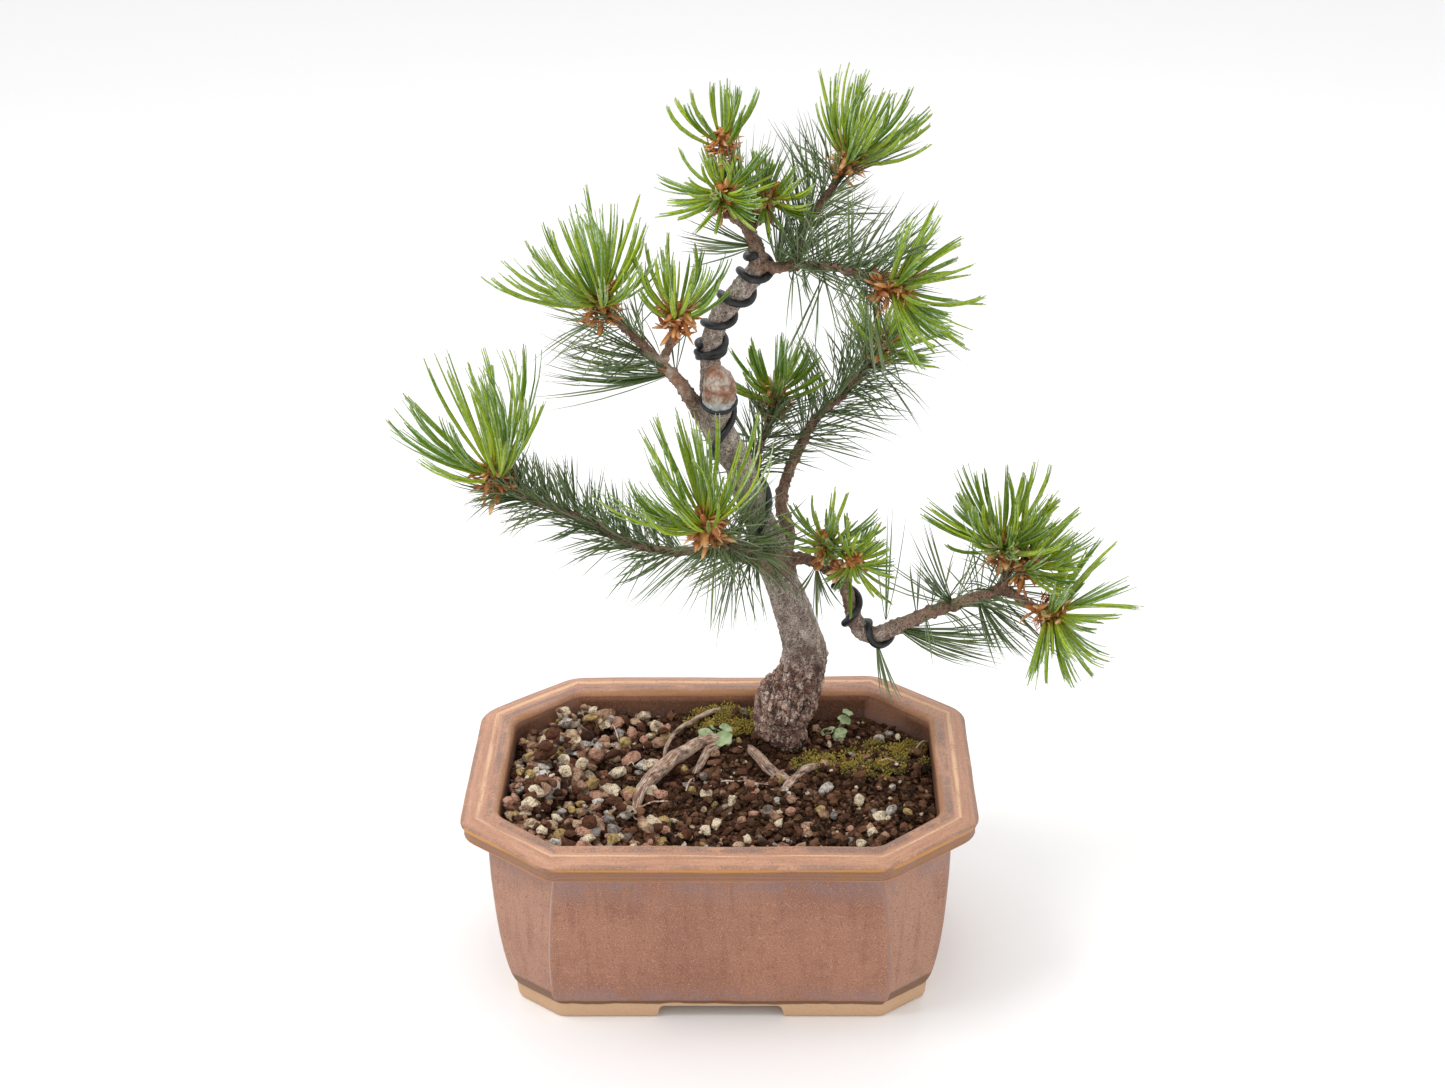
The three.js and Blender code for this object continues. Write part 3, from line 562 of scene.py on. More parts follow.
# stations are x, y, z and radius in mm, measured from the trunk's foot
woodSet = {
    "voxel": 0.62,
    "trunk": {
        "trunk": [
            [1.5, 2, -16, 6], [0, 0, -3, 7.8], [-1.2, -1, 2, 10], [-2.6, -2, 7, 12], [-2.8, -2, 12, 13.2],
            [-1.6, -3, 17.5, 13.7], [1.2, -3, 23, 13.1], [4, -4, 29, 11.9], [6, -5, 36, 10.7], [7, -6, 43.5, 10.2],
            [6.6, -7, 50, 9.6], [3.4, -8, 63, 8.6], [0.4, -10, 74, 8.1],
            [-3, -12, 85, 7.6], [-6, -14, 96, 8.4], [-9, -16, 106, 7.2], [-13, -17, 118, 6.4],
            [-17, -18, 130, 6.4], [-21, -20, 144, 6.4], [-27, -23, 156, 6.7], [-30.5, -26, 166, 6.3],
            [-29, -31, 176, 6.8], [-28, -34, 184, 6.8], [-29, -36, 190, 5.4], [-30, -36, 194, 2.6],
        ],
        "leader": [
            [-29, -22, 160, 5], [-32, -18, 172, 4.8], [-32, -17, 184, 4.6], [-32, -19, 195, 4.5],
            [-30, -20, 204, 4.4], [-27, -22, 212, 4.4], [-22, -24, 219, 4.6], [-17, -26, 226, 4.6],
            [-12, -28, 233, 4.2], [-12, -30, 240, 3.3], [-14, -32, 247, 2.8], [-17, -35, 255, 2.3],
            [-21, -36, 262, 1.7], [-24, -35, 270, 1.3], [-25, -34, 281, 1.1],
        ],
        "burr": [[8, -8, 38, 5], [11, -10, 44, 5.6], [10, -10, 50, 4]],
        "apexFront": [[-16, -34, 253, 2.2], [-21, -38, 258, 1.9], [-25, -40, 261, 1.6]],
        "apexRight": [[-16, -34, 251, 2.2], [-13, -31, 253, 1.9], [-10, -29, 255, 1.6]],
    },
    "branches": {
        "left_low": [
            [-8, -15, 94, 4.4], [-17, -23, 101, 2.9], [-27, -29, 106, 2.4], [-38, -32, 108, 2.1],
            [-61, -33, 111, 1.9], [-80, -33, 120, 1.9], [-98, -34, 130, 1.9], [-112, -36, 137, 1.7],
            [-119, -37, 142, 1.5],
        ],
        "centre_front": [
            [-9, -20, 97, 3], [-14, -31, 108, 2.6], [-22, -43, 116, 2.5], [-28, -52, 123, 2.3], [-32, -58, 128, 1.8],
        ],
        "left_mid": [
            [-33, -25, 164, 4.4], [-40, -25, 175, 3.4], [-45, -27, 184, 2.8], [-53, -28, 193, 2.4],
            [-62, -31, 205, 1.9], [-69, -34, 213, 1.8], [-74, -36, 217, 1.5],
        ],
        "left_fork": [[-52, -28, 192, 1.9], [-49, -33, 200, 1.7], [-47, -37, 207, 1.7], [-45, -40, 213, 1.6]],
        "crown": [
            [-12, -29, 237, 2], [-7, -31, 235, 2.4], [-1, -31, 235, 2.2], [3, -30, 239, 2],
            [7, -26, 250, 1.8], [12, -24, 257, 1.8], [18, -23, 265, 1.6], [22, -23, 272, 1.3],
        ],
        "upper_front": [
            [-1, -31, 235, 2], [8, -38, 238, 1.8], [20, -48, 240, 1.7], [30, -55, 239, 1.8], [36, -58, 236, 1.6],
        ],
        "right_low": [
            [0, -15, 97, 3.2], [8, -21, 99, 2.5], [15, -26, 98, 2.4], [21, -27, 94, 2.6], [25, -27, 87, 2.9],
            [27, -27, 79, 3.1], [29, -27, 72, 3.7], [32, -27, 67, 3.9], [38, -28, 66, 3.8], [45, -30, 70, 3.5],
            [61, -34, 80, 2.8], [77, -38, 88, 2.6], [88, -41, 94, 2.3], [92, -43, 102, 1.9], [91, -43, 111, 1.7],
        ],
        "right_near": [[12, -24, 98, 2], [14, -29, 103, 1.7], [15, -32, 108, 1.5]],
        "right_twig": [[20, -27, 95, 2], [23, -33, 98, 1.7], [24, -36, 101, 1.5]],
        "right_tip": [[86, -40, 93, 2.2], [94, -44, 94, 2], [100, -48, 91, 1.8], [105, -50, 89, 1.5]],
        "back_right": [
            [-2, -12, 97, 4], [0, -7, 106, 3.2], [-3, -4, 117, 2.8], [-1, -1, 127, 2.5], [4, 2, 139, 2.3],
            [12, 6, 153, 2], [24, 10, 163, 1.8], [33, 12, 173, 1.7], [38, 13, 178, 1.5],
        ],
        "back_centre": [
            [-18, -16, 130, 2.6], [-15, -7, 136, 2], [-12, 1, 143, 1.8], [-8, 5, 151, 1.7], [-6, 7, 158, 1.5],
        ],
    },
    "nodes": [
        "trunk", "branch_left_low", "branch_centre_front", "branch_left_mid", "branch_upper_right",
        "branch_right_low", "branch_back_right", "branch_back_centre",
    ],
}


def limbRows(knots, spacing=2.0):
    length = sum((Vector(a[:3]) - Vector(b[:3])).length for a, b in zip(knots, knots[1:]))
    return smoothLine(knots, max(4, int(length / spacing)))


def barkMaterial():
    material, start = startMaterial("pine bark")
    place = start.place().moved(shift=tuple(-trunkFoot))
    crack, thin, cut, seal = (start.attribute(name) for name in ("crack", "thin", "cut", "seal"))
    fleck = place.moved(stretch=(1, 1, 0.45)).grain(420, 5, 0.7)
    patch = place.grain(150, 4, 0.6)
    fine = place.grain(1500, 3, 0.65)
    # old flaking bark at the foot
    low = patch.step(0.38, 0.62).tint((114, 82, 70), (190, 154, 136)).over(
        (fleck.step(0.5, 0.6) * 0.9, (240, 216, 200)), (fine.step(0.5, 0.58) * 0.9, (44, 27, 22)))
    # grey rind above
    high = patch.step(0.35, 0.65).tint((138, 122, 112), (196, 180, 168)).over(
        (fleck.step(0.5, 0.62) * 0.7, (228, 216, 204)), (fine.step(0.5, 0.6) * 0.85, (76, 60, 52)))
    # young wood of the branches
    young = patch.step(0.36, 0.64).tint((118, 88, 72), (156, 126, 106)).over(
        (fleck.step(0.5, 0.66) * 0.7, (178, 154, 134)), (fine.step(0.5, 0.62) * 0.8, (62, 42, 34)))
    base = low.over(
        ((place.split()[2] + (patch - 0.5) * 0.012).step(0.036, 0.056), high),
        (thin, young),
        (cut * 0.8, patch.step(0.4, 0.6).tint((162, 104, 74), (206, 190, 176))),
        # painted sheen: a pale grey-white patch on the front of the trunk by the wire ring under the stub
        (seal * patch.step(0.36, 0.5), (208, 212, 214)),
        ((crack * 0.85).held(), (44, 30, 26)),
    )
    height = fleck * 0.8 + fine * 0.5 - crack * 0.6
    return finishMaterial(material, base, 0.82 + fine * 0.1, height, 0.0006, 0.8)


def makeWood():
    shape = bmesh.new()
    spots = []
    for group, sides in (("trunk", 20), ("branches", 12)):
        for knots in woodSet[group].values():
            rows = limbRows(knots)
            addLimb(shape, [fromFoot(row) for row in rows], [row[3] * mm for row in rows], sides)
            spots += rows
    facesOut(shape)
    solid = looseObject("wood", shape)
    remesh = solid.modifiers.new("skin", "REMESH")
    remesh.mode = "VOXEL"
    remesh.voxel_size = woodSet["voxel"] * mm
    mesh = appliedMesh(solid)
    tree = KDTree(len(spots))
    for i, row in enumerate(spots):
        tree.insert(row[:3], i)
    tree.balance()
    skin = bmesh.new()
    skin.from_mesh(mesh)
    for smoothing in range(3):
        bmesh.ops.smooth_vert(skin, verts=skin.verts, factor=0.5, use_axis_x=True, use_axis_y=True, use_axis_z=True)
    skin.normal_update()
    layers = {name: skin.verts.layers.float.new(name) for name in ("crack", "thin", "cut", "seal")}
    moves = []
    for v in skin.verts:
        p = (v.co - trunkFoot) / mm
        radius = spots[tree.find(p)[1]][3]
        thin = 1 - smoothStep(2.6, 4.6, radius)
        low = 1 - smoothStep(38, 54, p.z)
        plate = noise.noise(Vector((p.x * 0.3, p.y * 0.3, p.z * 0.17)))
        flake = noise.noise(Vector((p.x * 0.62, p.y * 0.62, p.z * 0.42 + 9)))
        lump = noise.noise(p * 0.09)
        grit = noise.noise(p * 1.15)
        crack = (1 - smoothStep(0.0, 0.13, abs(plate))) * (0.35 + 0.65 * low)
        crack = max(crack, (1 - smoothStep(0.0, 0.1, abs(flake))) * 0.6)
        seam = math.exp(-((p.x - 13) / 2.2) ** 2 - ((p.z - 42) / 5.5) ** 2) if p.y < -9 else 0
        crack = max(crack * (1 - 0.45 * thin), seam)
        move = lump * (0.4 + 1.3 * low) * (1 - 0.6 * thin) + flake * (0.42 + 0.5 * low) * (1 - 0.45 * thin)
        knob = smoothStep(0.12, 0.45, noise.noise(p * 0.5 + Vector((0, 0, 31)))) * thin
        move += grit * 0.3 + knob * 0.7 - crack * (0.34 + 0.55 * low)
        v[layers["crack"]] = min(max(crack, 0), 1)
        v[layers["thin"]] = thin
        v[layers["cut"]] = smoothStep(174, 180, p.z) * (1 - smoothStep(196, 198, p.z)) * smoothStep(27, 30, -p.y)
        # where the painted sheen patch lies: on the front, by the ring under the stub
        onFront = smoothStep(26, 28, -p.y) * smoothStep(-37, -35, p.x)
        v[layers["seal"]] = (1 - smoothStep(1.6, 2.6, abs(p.z - 176.4))) * onFront
        moves.append(v.normal * (move * mm))
    for v, move in zip(skin.verts, moves):
        v.co += move
    bark = BVHTree.FromBMesh(skin)
    addPiece("wood", skin, barkMaterial(), "bark", woodSet["nodes"])
    return bark


bark = makeWood()
print("trunk and branches made")

# heights in mm above the soil's level; places from the pot's middle, in mm
soilSet = {
    "grid": 1.7,
    "depth": 60,
    "taper": 0.86,
    "gap": 0.35,
    "level": -3.0,
    "mound": {"x": (-70, 2), "rise": 1.4},
    "hollows": [((19, 15), 9, 6), ((29, 31), 9, 5), ((12, 24), 8, 4)],       # place, reach and depth
    "rises": [((0, 60), 20, 4.5)],
}


def bell(x, y, place, reach):
    return math.exp(-((x - place[0]) ** 2 + (y - place[1]) ** 2) / reach ** 2)


def groundHeight(x, y):
    mound = soilSet["mound"]
    height = soilSet["level"] + (1 - smoothStep(*mound["x"], x)) * mound["rise"]
    for place, reach, depth in soilSet["hollows"]:
        height -= depth * bell(x, y, place, reach)
    for place, reach, rise in soilSet["rises"]:
        height += rise * bell(x, y, place, reach)
    for scale, size in ((0.035, 1.8), (0.13, 1.1), (0.4, 0.7)):
        height += size * noise.noise(Vector((x * scale, y * scale, 4.7)))
    return height


def onGround(x, y, rise=0.0):
    return potMiddle + Vector((x * mm, y * mm, soilLevel + (groundHeight(x, y) + rise) * mm))


def insideOpening(x, y, margin):
    hx, hy = potSet["opening"][:2]
    slope, slant = slantOf(potSet["opening"])
    fits = abs(x) < hx - margin and abs(y) < hy - margin
    return fits and abs(x) * math.cos(slope) + abs(y) * math.sin(slope) < slant - margin


def soilMaterial():
    material, start = startMaterial("potting soil")
    place = start.place()
    lump = place.grain(140, 5, 0.65)
    crumb = place.grain(620, 4, 0.7)
    base = lump.step(0.36, 0.66).tint((34, 19, 11), (92, 60, 42)).over(
        (crumb.step(0.5, 0.68), (122, 86, 62)),
        (place.cells(420).under(0.05, 0.16) * crumb.step(0.5, 0.6), (168, 142, 112)),
    )
    return finishMaterial(material, base, 0.92 - lump * 0.2, lump * 0.9 + crumb * 0.7, 0.0012, 0.9, 0.12)


def makeSoil():
    shape = bmesh.new()
    hx, hy = potSet["opening"][:2]
    count = (int(2 * hx / soilSet["grid"]), int(2 * hy / soilSet["grid"]))
    bmesh.ops.create_grid(shape, x_segments=count[0], y_segments=count[1], size=1)
    bmesh.ops.scale(shape, verts=shape.verts, vec=(hx, hy, 1))
    slope, slant = slantOf(potSet["opening"])
    for sx, sy in ((1, 1), (1, -1), (-1, 1), (-1, -1)):
        out = Vector((sx * math.cos(slope), sy * math.sin(slope), 0))
        parts = shape.verts[:] + shape.edges[:] + shape.faces[:]
        edge = out * (slant - 0.4)
        bmesh.ops.bisect_plane(shape, geom=parts, plane_co=edge, plane_no=out, clear_outer=True, dist=0.001)
    bmesh.ops.scale(shape, verts=shape.verts, vec=(1 - soilSet["gap"] / hx, 1 - soilSet["gap"] / hy, 1))
    for v in shape.verts:
        v.co = onGround(v.co.x, v.co.y)
    rim = [e for e in shape.edges if e.is_boundary]
    for v in bmesh.ops.extrude_edge_only(shape, edges=rim)["geom"]:
        if isinstance(v, bmesh.types.BMVert):
            side = (v.co - potMiddle) * soilSet["taper"]
            v.co = potMiddle + Vector((side.x, side.y, 0))
            v.co.z = soilLevel - soilSet["depth"] * mm
    bmesh.ops.holes_fill(shape, edges=[e for e in shape.edges if e.is_boundary], sides=0)
    facesOut(shape)
    addPiece("soil_bed", shape, soilMaterial(), "soil", ["soil"])


makeSoil()
print("soil made")

# x, y, rise above the soil and radius in mm, from the trunk's foot
rootSet = {
    "root_left": [
        [-26, -4, -2, 1.8], [-31, -7, 2.4, 2.4], [-38, -12, 5, 2.9], [-45, -20, 5.6, 3.2], [-52, -29, 5.6, 3.5],
        [-59, -40, 5, 3.3], [-64, -50, 4, 2.8], [-66, -57, 2.4, 2.3], [-67, -62, 0, 1.6],
    ],
    "root_left_short": [
        [-31, -9, 2, 1.6], [-34, -14, 3.6, 2.1], [-38, -22, 3.2, 2], [-41, -31, 1.4, 1.6], [-43, -38, -2, 1.1],
    ],
    "root_front": [
        [-19, -8, -2, 1.6], [-16.6, -12, 1.8, 2.3], [-10.5, -21, 3.2, 2.6], [-5, -28, 2.2, 2.4], [0, -33, -0.4, 1.9],
        [2, -36, -3, 1.4],
    ],
    "root_right": [
        [15, -23, -3, 1.3], [11, -28, 2.4, 1.7], [6, -35, 3, 2.1], [0, -43, 1.6, 2], [-6, -51, -2.5, 1.2],
    ],
    "root_thin": [
        [-27, 14, 1, 0.9], [-33, 11, 4, 1], [-43, 3, 6, 1.1], [-51, -6, 6, 1.1], [-55, -15, 4.6, 1], [-56, -24, 1, 0.8],
    ],
}


def rootSpots():
    spots = []
    for knots in rootSet.values():
        for x, y, rise, radius in smoothLine(knots, 24):
            spot = (fromFoot((x, y, 0)) - potMiddle) / mm
            if rise > 0.5:
                spots.append((spot.x, spot.y, radius * 0.7))
    return spots


keepOff = rootSpots()


def nearRoot(x, y, size):
    return any(math.hypot(x - rx, y - ry) < radius + size * 0.5 for rx, ry, radius in keepOff)


gritSet = {
    "cell": 1.5,
    "stones": 700,
    "stoneSize": (1.0, 3.8),
    "large": [
        (-59, 5, 4.6, 0.7), (-40, -5, 3.8, 0.98), (-84, -34, 4.6, 0.62), (-80, -24, 3.6, 0.62), (-30, -52, 3.4, 0.78),
        (21, -22, 3.4, 0.86), (69, -27, 3.6, 0.7), (-68, 26, 3.4, 0.86), (26, 12, 3.0, 0.98),
    ],
    "sparse": 330,
    "crumbs": 4600,
    "crumbSize": (0.5, 2.3),
}


# rough lumps: crumbs as they are, pebbles closed up and worn down


def lumpTemplates(count, dice, low, high, worn=False):
    meshes = []
    for i in range(count):
        shape = bmesh.new()
        shape.verts.layers.float.new("tone")
        bmesh.ops.create_icosphere(shape, subdivisions=1, radius=1)
        for v in shape.verts:
            v.co *= dice.uniform(low, high)
        if worn:
            bmesh.ops.convex_hull(shape, input=shape.verts)
            bmesh.ops.delete(shape, geom=[v for v in shape.verts if not v.link_faces], context="VERTS")
            bmesh.ops.subdivide_edges(shape, edges=shape.edges, cuts=1, smooth=0.2, use_grid_fill=True)
            for v in shape.verts:
                v.co *= dice.uniform(0.9, 1.08)
            facesOut(shape)
        meshes.append(meshFrom("lump", shape))
    return meshes


# copies of the templates: each spot is a place, size, tone and template number


def scatter(name, templates, spots, material, slot, nodes, dice):
    shape = bmesh.new()
    tone = shape.verts.layers.float.new("tone")
    for spot in spots:
        shape.from_mesh(templates[spot[3]])
    shape.verts.ensure_lookup_table()
    start = 0
    for place, size, shade, number in spots:
        count = len(templates[number].vertices)
        turn = Euler((dice.uniform(-0.5, 0.5), dice.uniform(-0.5, 0.5), dice.uniform(0, 6.28))).to_matrix()
        flat = turn @ Matrix.Diagonal((size * dice.uniform(0.95, 1.5), size, size * dice.uniform(0.6, 0.95)))
        for v in shape.verts[start:start + count]:
            v.co = place + flat @ v.co
            v[tone] = shade
        start += count
    return addPiece(name, shape, material, slot, nodes, False)


# stones settle on what lies below them; the heap is a grid of heights


class Heap:
    def __init__(self, cell):
        self.cell = cell
        self.heights = {}

    def height(self, key):
        if key not in self.heights:
            self.heights[key] = groundHeight(key[0] * self.cell, key[1] * self.cell)
        return self.heights[key]

    def cells(self, x, y, reach):
        span = int(reach / self.cell) + 1
        middle = (round(x / self.cell), round(y / self.cell))
        for i in range(middle[0] - span, middle[0] + span + 1):
            for j in range(middle[1] - span, middle[1] + span + 1):
                away = math.hypot(i * self.cell - x, j * self.cell - y)
                if away <= reach:
                    yield (i, j), away

    def drop(self, x, y, radius, sink=0.35):
        under = [self.height(key) for key, away in self.cells(x, y, max(radius * 0.7, self.cell))]
        z = sum(under) / len(under) + radius * (0.8 - sink)
        for key, away in self.cells(x, y, radius):
            top = z + 0.75 * math.sqrt(max(radius ** 2 - away ** 2, 0))
            self.heights[key] = max(self.height(key), top)
        return potMiddle + Vector((x * mm, y * mm, soilLevel + z * mm))


gritTints = [
    (0.0, colour(58, 35, 24)), (0.16, colour(100, 64, 46)), (0.3, colour(134, 92, 70)),
    (0.42, colour(180, 144, 118)), (0.52, colour(214, 182, 150)), (0.62, colour(238, 220, 190)),
    (0.72, colour(206, 158, 134)), (0.82, colour(158, 150, 144)), (0.9, colour(222, 214, 204)),
    (0.96, colour(196, 168, 112)),
]


def gritMaterial():
    material, start = startMaterial("mixed grit")
    place = start.place()
    tone = start.attribute("tone")
    ramp = start.node("ShaderNodeValToRGB", {"stops": gritTints, "interpolation": "CONSTANT"}, {"Fac": tone})
    mottle = place.grain(520, 4, 0.7)
    dust = place.grain(160, 3, 0.6)
    speck = place.grain(1900, 2, 0.6)
    base = (mottle.step(0.5, 0.66) * 0.75).tint(ramp, (120, 92, 76), "MULTIPLY").over(
        (speck.step(0.55, 0.64) * 0.7, (62, 42, 32)), (dust.step(0.5, 0.6) * 0.5, (72, 44, 30)))
    return finishMaterial(material, base, 0.8 + mottle * 0.15, mottle + speck * 0.6, 0.0011, 1.0, 0.2)


def crumbMaterial():
    material, start = startMaterial("soil crumbs")
    grain = start.place().grain(900, 4, 0.7)
    base = start.attribute("tone").tint((34, 20, 12), (124, 88, 66))
    base = base.over((grain.step(0.52, 0.68) * 0.6, (152, 118, 92)))
    return finishMaterial(material, base, 0.93, grain, 0.0008, 0.9, 0.12)


def makeGrit():
    dice = random.Random(41)
    pebbles = lumpTemplates(9, dice, 0.62, 1.2, True)
    crumbs = lumpTemplates(6, dice, 0.6, 1.3)
    heap = Heap(gritSet["cell"])
    grit, sparse, bits = [], [], []

    def shade():
        return dice.choice((0.05, 0.2, 0.2, 0.25, 0.36, 0.45, 0.45, 0.55, 0.65, 0.65, 0.75, 0.75, 0.85, 0.93, 0.98))

    hx, hy = potSet["opening"][:2]
    while len(bits) < gritSet["crumbs"]:
        x, y = dice.uniform(-hx, hx), dice.uniform(-hy, hy)
        low, high = gritSet["crumbSize"]
        size = low + (high - low) * dice.random() ** 2.4
        if insideOpening(x, y, size) and dice.random() < 0.6 + smoothStep(-45, 0, x) and not nearRoot(x, y, size):
            bits.append((heap.drop(x, y, size, 0.3), size * mm, dice.random() ** 1.5, dice.randrange(6)))
    for x, y, size, tone in gritSet["large"]:
        grit.append((heap.drop(x, y, size), size * mm, tone, dice.randrange(9)))
    while len(grit) < gritSet["stones"]:
        x, y = dice.uniform(-hx, 20), dice.uniform(-hy, hy)
        low, high = gritSet["stoneSize"]
        size = low + (high - low) * dice.random() ** 1.6
        # thick at the left wall and the front, thinning out towards the trunk
        far = x + 0.2 * (y + hy) * smoothStep(-70, -20, x) + 10 * noise.noise(Vector((x, y, 0)) * 0.06)
        chance = 0.25 + 0.75 * (1 - smoothStep(-88, -30, far)) if far < -30 else 0.3 * (1 - smoothStep(-30, 12, far))
        if insideOpening(x, y, size * 0.9) and dice.random() < chance and not nearRoot(x, y, size):
            grit.append((heap.drop(x, y, size, 0.2), size * mm, shade(), dice.randrange(9)))
    while len(sparse) < gritSet["sparse"]:
        x, y = dice.uniform(-20, hx), dice.uniform(-hy, hy)
        size = dice.uniform(0.7, 1.1) if dice.random() < 0.6 else dice.uniform(1.4, 2.9)
        wanted = dice.random() < 0.25 + 0.75 * bell(x, y, (30, -50), 42)
        if insideOpening(x, y, size) and wanted and not nearRoot(x, y, size):
            sparse.append((heap.drop(x, y, size, 0.2), size * mm, shade(), dice.randrange(9)))
    finish = gritMaterial()
    scatter("grit_bed", pebbles, grit, finish, "grit", ["gravel_bed"], dice)
    scatter("sparse_grit", pebbles, sparse, finish, "grit", [], dice)
    scatter("soil_crumbs", crumbs, bits, crumbMaterial(), "soil", [], dice)


makeGrit()
print("grit and crumbs laid")


def rootMaterial():
    material, start = startMaterial("root bark")
    grain = start.attribute("grain", "Vector")
    line = grain.grain(3.2, 4, 0.6)
    fine = grain.grain(9, 3, 0.6)
    patch = start.place().grain(130, 4, 0.6)
    crack = start.attribute("crack")
    base = patch.step(0.36, 0.64).tint((156, 116, 94), (214, 184, 160)).over(
        (line.step(0.48, 0.62), (238, 218, 200)),
        (fine.step(0.5, 0.62) * 0.7, (98, 66, 52)),
        ((crack * 0.9).held(), (64, 42, 34)),
    )
    return finishMaterial(material, base, 0.85, line + fine * 0.6 - crack, 0.0006, 0.8)


def makeRoot(name, knots, material):
    shape = bmesh.new()
    grain = shape.verts.layers.float_vector.new("grain")
    crack = shape.verts.layers.float.new("crack")
    rows = smoothLine(knots, 34)
    points = []
    for x, y, rise, radius in rows:
        spot = fromFoot((x, y, 0)) - potMiddle
        points.append(onGround(spot.x / mm, spot.y / mm, rise + 0.4 * radius))
    rings = addLimb(shape, points, [row[3] * mm for row in rows], 20)
    along = 0
    for i, ring in enumerate(rings):
        along += (points[i] - points[max(i - 1, 0)]).length / mm
        for j, v in enumerate(ring):
            angle = 2 * math.pi * j / len(ring)
            place = Vector((math.cos(angle) * 1.6, math.sin(angle) * 1.6, along * 0.075 + len(name)))
            split = 1 - smoothStep(0, 0.14, abs(noise.noise(place * 1.7)))
            bulge = 1 + 0.22 * noise.noise(Vector((along * 0.16, angle, 3))) + 0.12 * noise.noise(place * 3)
            v.co = points[i] + (v.co - points[i]) * (bulge - 0.16 * split)
            v[grain] = place
            v[crack] = split
    facesOut(shape)
    root = addPiece(name + "_bark", shape, material, "root_bark", [name])
    smooth = root.modifiers.new("smooth", "SUBSURF")
    smooth.levels = smooth.render_levels = 1


rootFinish = rootMaterial()
for rootName, rootKnots in rootSet.items():
    makeRoot(rootName, rootKnots, rootFinish)
print("roots made")


def wireMaterial():
    material, start = startMaterial("anodised training wire")
    place = start.place()
    scuff = place.grain(260, 4, 0.6)
    fine = place.grain(1600, 2, 0.5)
    base = scuff.step(0.48, 0.75).tint((26, 27, 31), (62, 64, 70))
    return finishMaterial(material, base, 0.34 + scuff * 0.2, fine, 0.0001, 0.3, 0.55)


# each winding runs along a limb from one share of it to another, pressed on the bark
wireSet = {
    "radius": 1.5,
    "windings": {
        "wire_middle": {"on": ("trunk", "trunk"), "from": 0.56, "to": 0.86, "turns": 1.9, "phase": 0.9},
        "wire_upper": {"on": ("trunk", "leader"), "from": 0.2, "to": 0.67, "turns": 4.2, "phase": 3.6},
        "wire_right": {"on": ("branches", "right_low"), "from": 0.25, "to": 0.62, "turns": 2.1, "phase": 3.3},
        "ring_under_stub": {
            "on": ("trunk", "trunk"), "from": 0.875, "to": 0.885, "turns": 1.05, "phase": 0.5, "radius": 0.8,
        },
        "ring_over_stub": {"on": ("trunk", "leader"), "from": 0.208, "to": 0.232, "turns": 1.1, "phase": 3.2},
    },
}


def windingPoints(winding, bark):
    group, limb = winding["on"]
    rows = limbRows(woodSet[group][limb])
    points = [fromFoot(row) for row in rows]
    turns = lineTurns(points)
    across = Vector((1, 0, 0))
    middles, outs, reaches = [], [], []
    steps = int(26 * winding["turns"])
    for i in range(steps + 1):
        place = (winding["from"] + (winding["to"] - winding["from"]) * i / steps) * (len(rows) - 1)
        k = min(int(place), len(rows) - 2)
        along = turns[k].lerp(turns[k + 1], place - k).normalized()
        across = (across - along * across.dot(along)).normalized()
        out = Quaternion(along, winding["phase"] + 2 * math.pi * winding["turns"] * i / steps) @ across
        middle = points[k].lerp(points[k + 1], place - k)
        radius = rows[k][3] * mm
        start = radius + 4 * mm
        hit = bark.ray_cast(middle + out * start, -out, start)
        reach = start - hit[3] if hit[0] else radius
        middles.append(middle)
        outs.append(out)
        reaches.append(max(reach, radius * 0.8))
    for smoothing in range(3):
        reaches = [sum(reaches[max(i - 1, 0):i + 2]) / len(reaches[max(i - 1, 0):i + 2]) for i in range(steps + 1)]
    gauge = winding.get("radius", wireSet["radius"])
    return [m + o * (r + gauge * 0.92 * mm) for m, o, r in zip(middles, outs, reaches)], gauge


def makeWires(bark):
    finish = wireMaterial()
    for name, winding in wireSet["windings"].items():
        points, gauge = windingPoints(winding, bark)
        shape = bmesh.new()
        addLimb(shape, points, [gauge * mm] * len(points), 14)
        facesOut(shape)
        edges = [e for e in shape.edges if any(len(f.verts) > 4 for f in e.link_faces)]
        bmesh.ops.bevel(shape, geom=edges, offset=0.3 * mm, segments=2, profile=0.5, affect="EDGES", material=-1)
        nodes = [name] if name.startswith("wire") else []
        addPiece(name + "_round", shape, finish, "training_wire", nodes)


makeWires(bark)
print("wires wound")
bladeSteps = (0, 0.12, 0.32, 0.54, 0.76, 0.92, 1)


# an upright blade one unit high, that bladeShape bends into place
def bladeTemplate(sides, steps):
    shape = bmesh.new()
    inner = shape.faces.layers.float.new("inner")
    along = shape.verts.layers.float.new("along")
    shape.verts.layers.float.new("tone")
    rings = [bmesh.ops.create_circle(shape, segments=sides, radius=1)["verts"]]
    for step in steps[1:]:
        rings.append(nextRing(shape, rings[-1]))
    for ring, step in zip(rings, steps):
        for v in ring:
            v.co.z = step
            v[along] = step
    capEnds(shape, rings)
    facesOut(shape)
    shape.normal_update()
    for face in shape.faces:
        face[inner] = 1 if face.normal.y > -0.5 else 0
    return meshFrom("blade", shape)


def bladeWidth(t, blunt):
    return (0.55 + 0.45 * smoothStep(0, 0.3, t)) * (1 - (1 - blunt) * smoothStep(0.62, 1, t))


# a shape of blades, each with root, tip, belly, outward, half width, half thickness, tone and bluntness


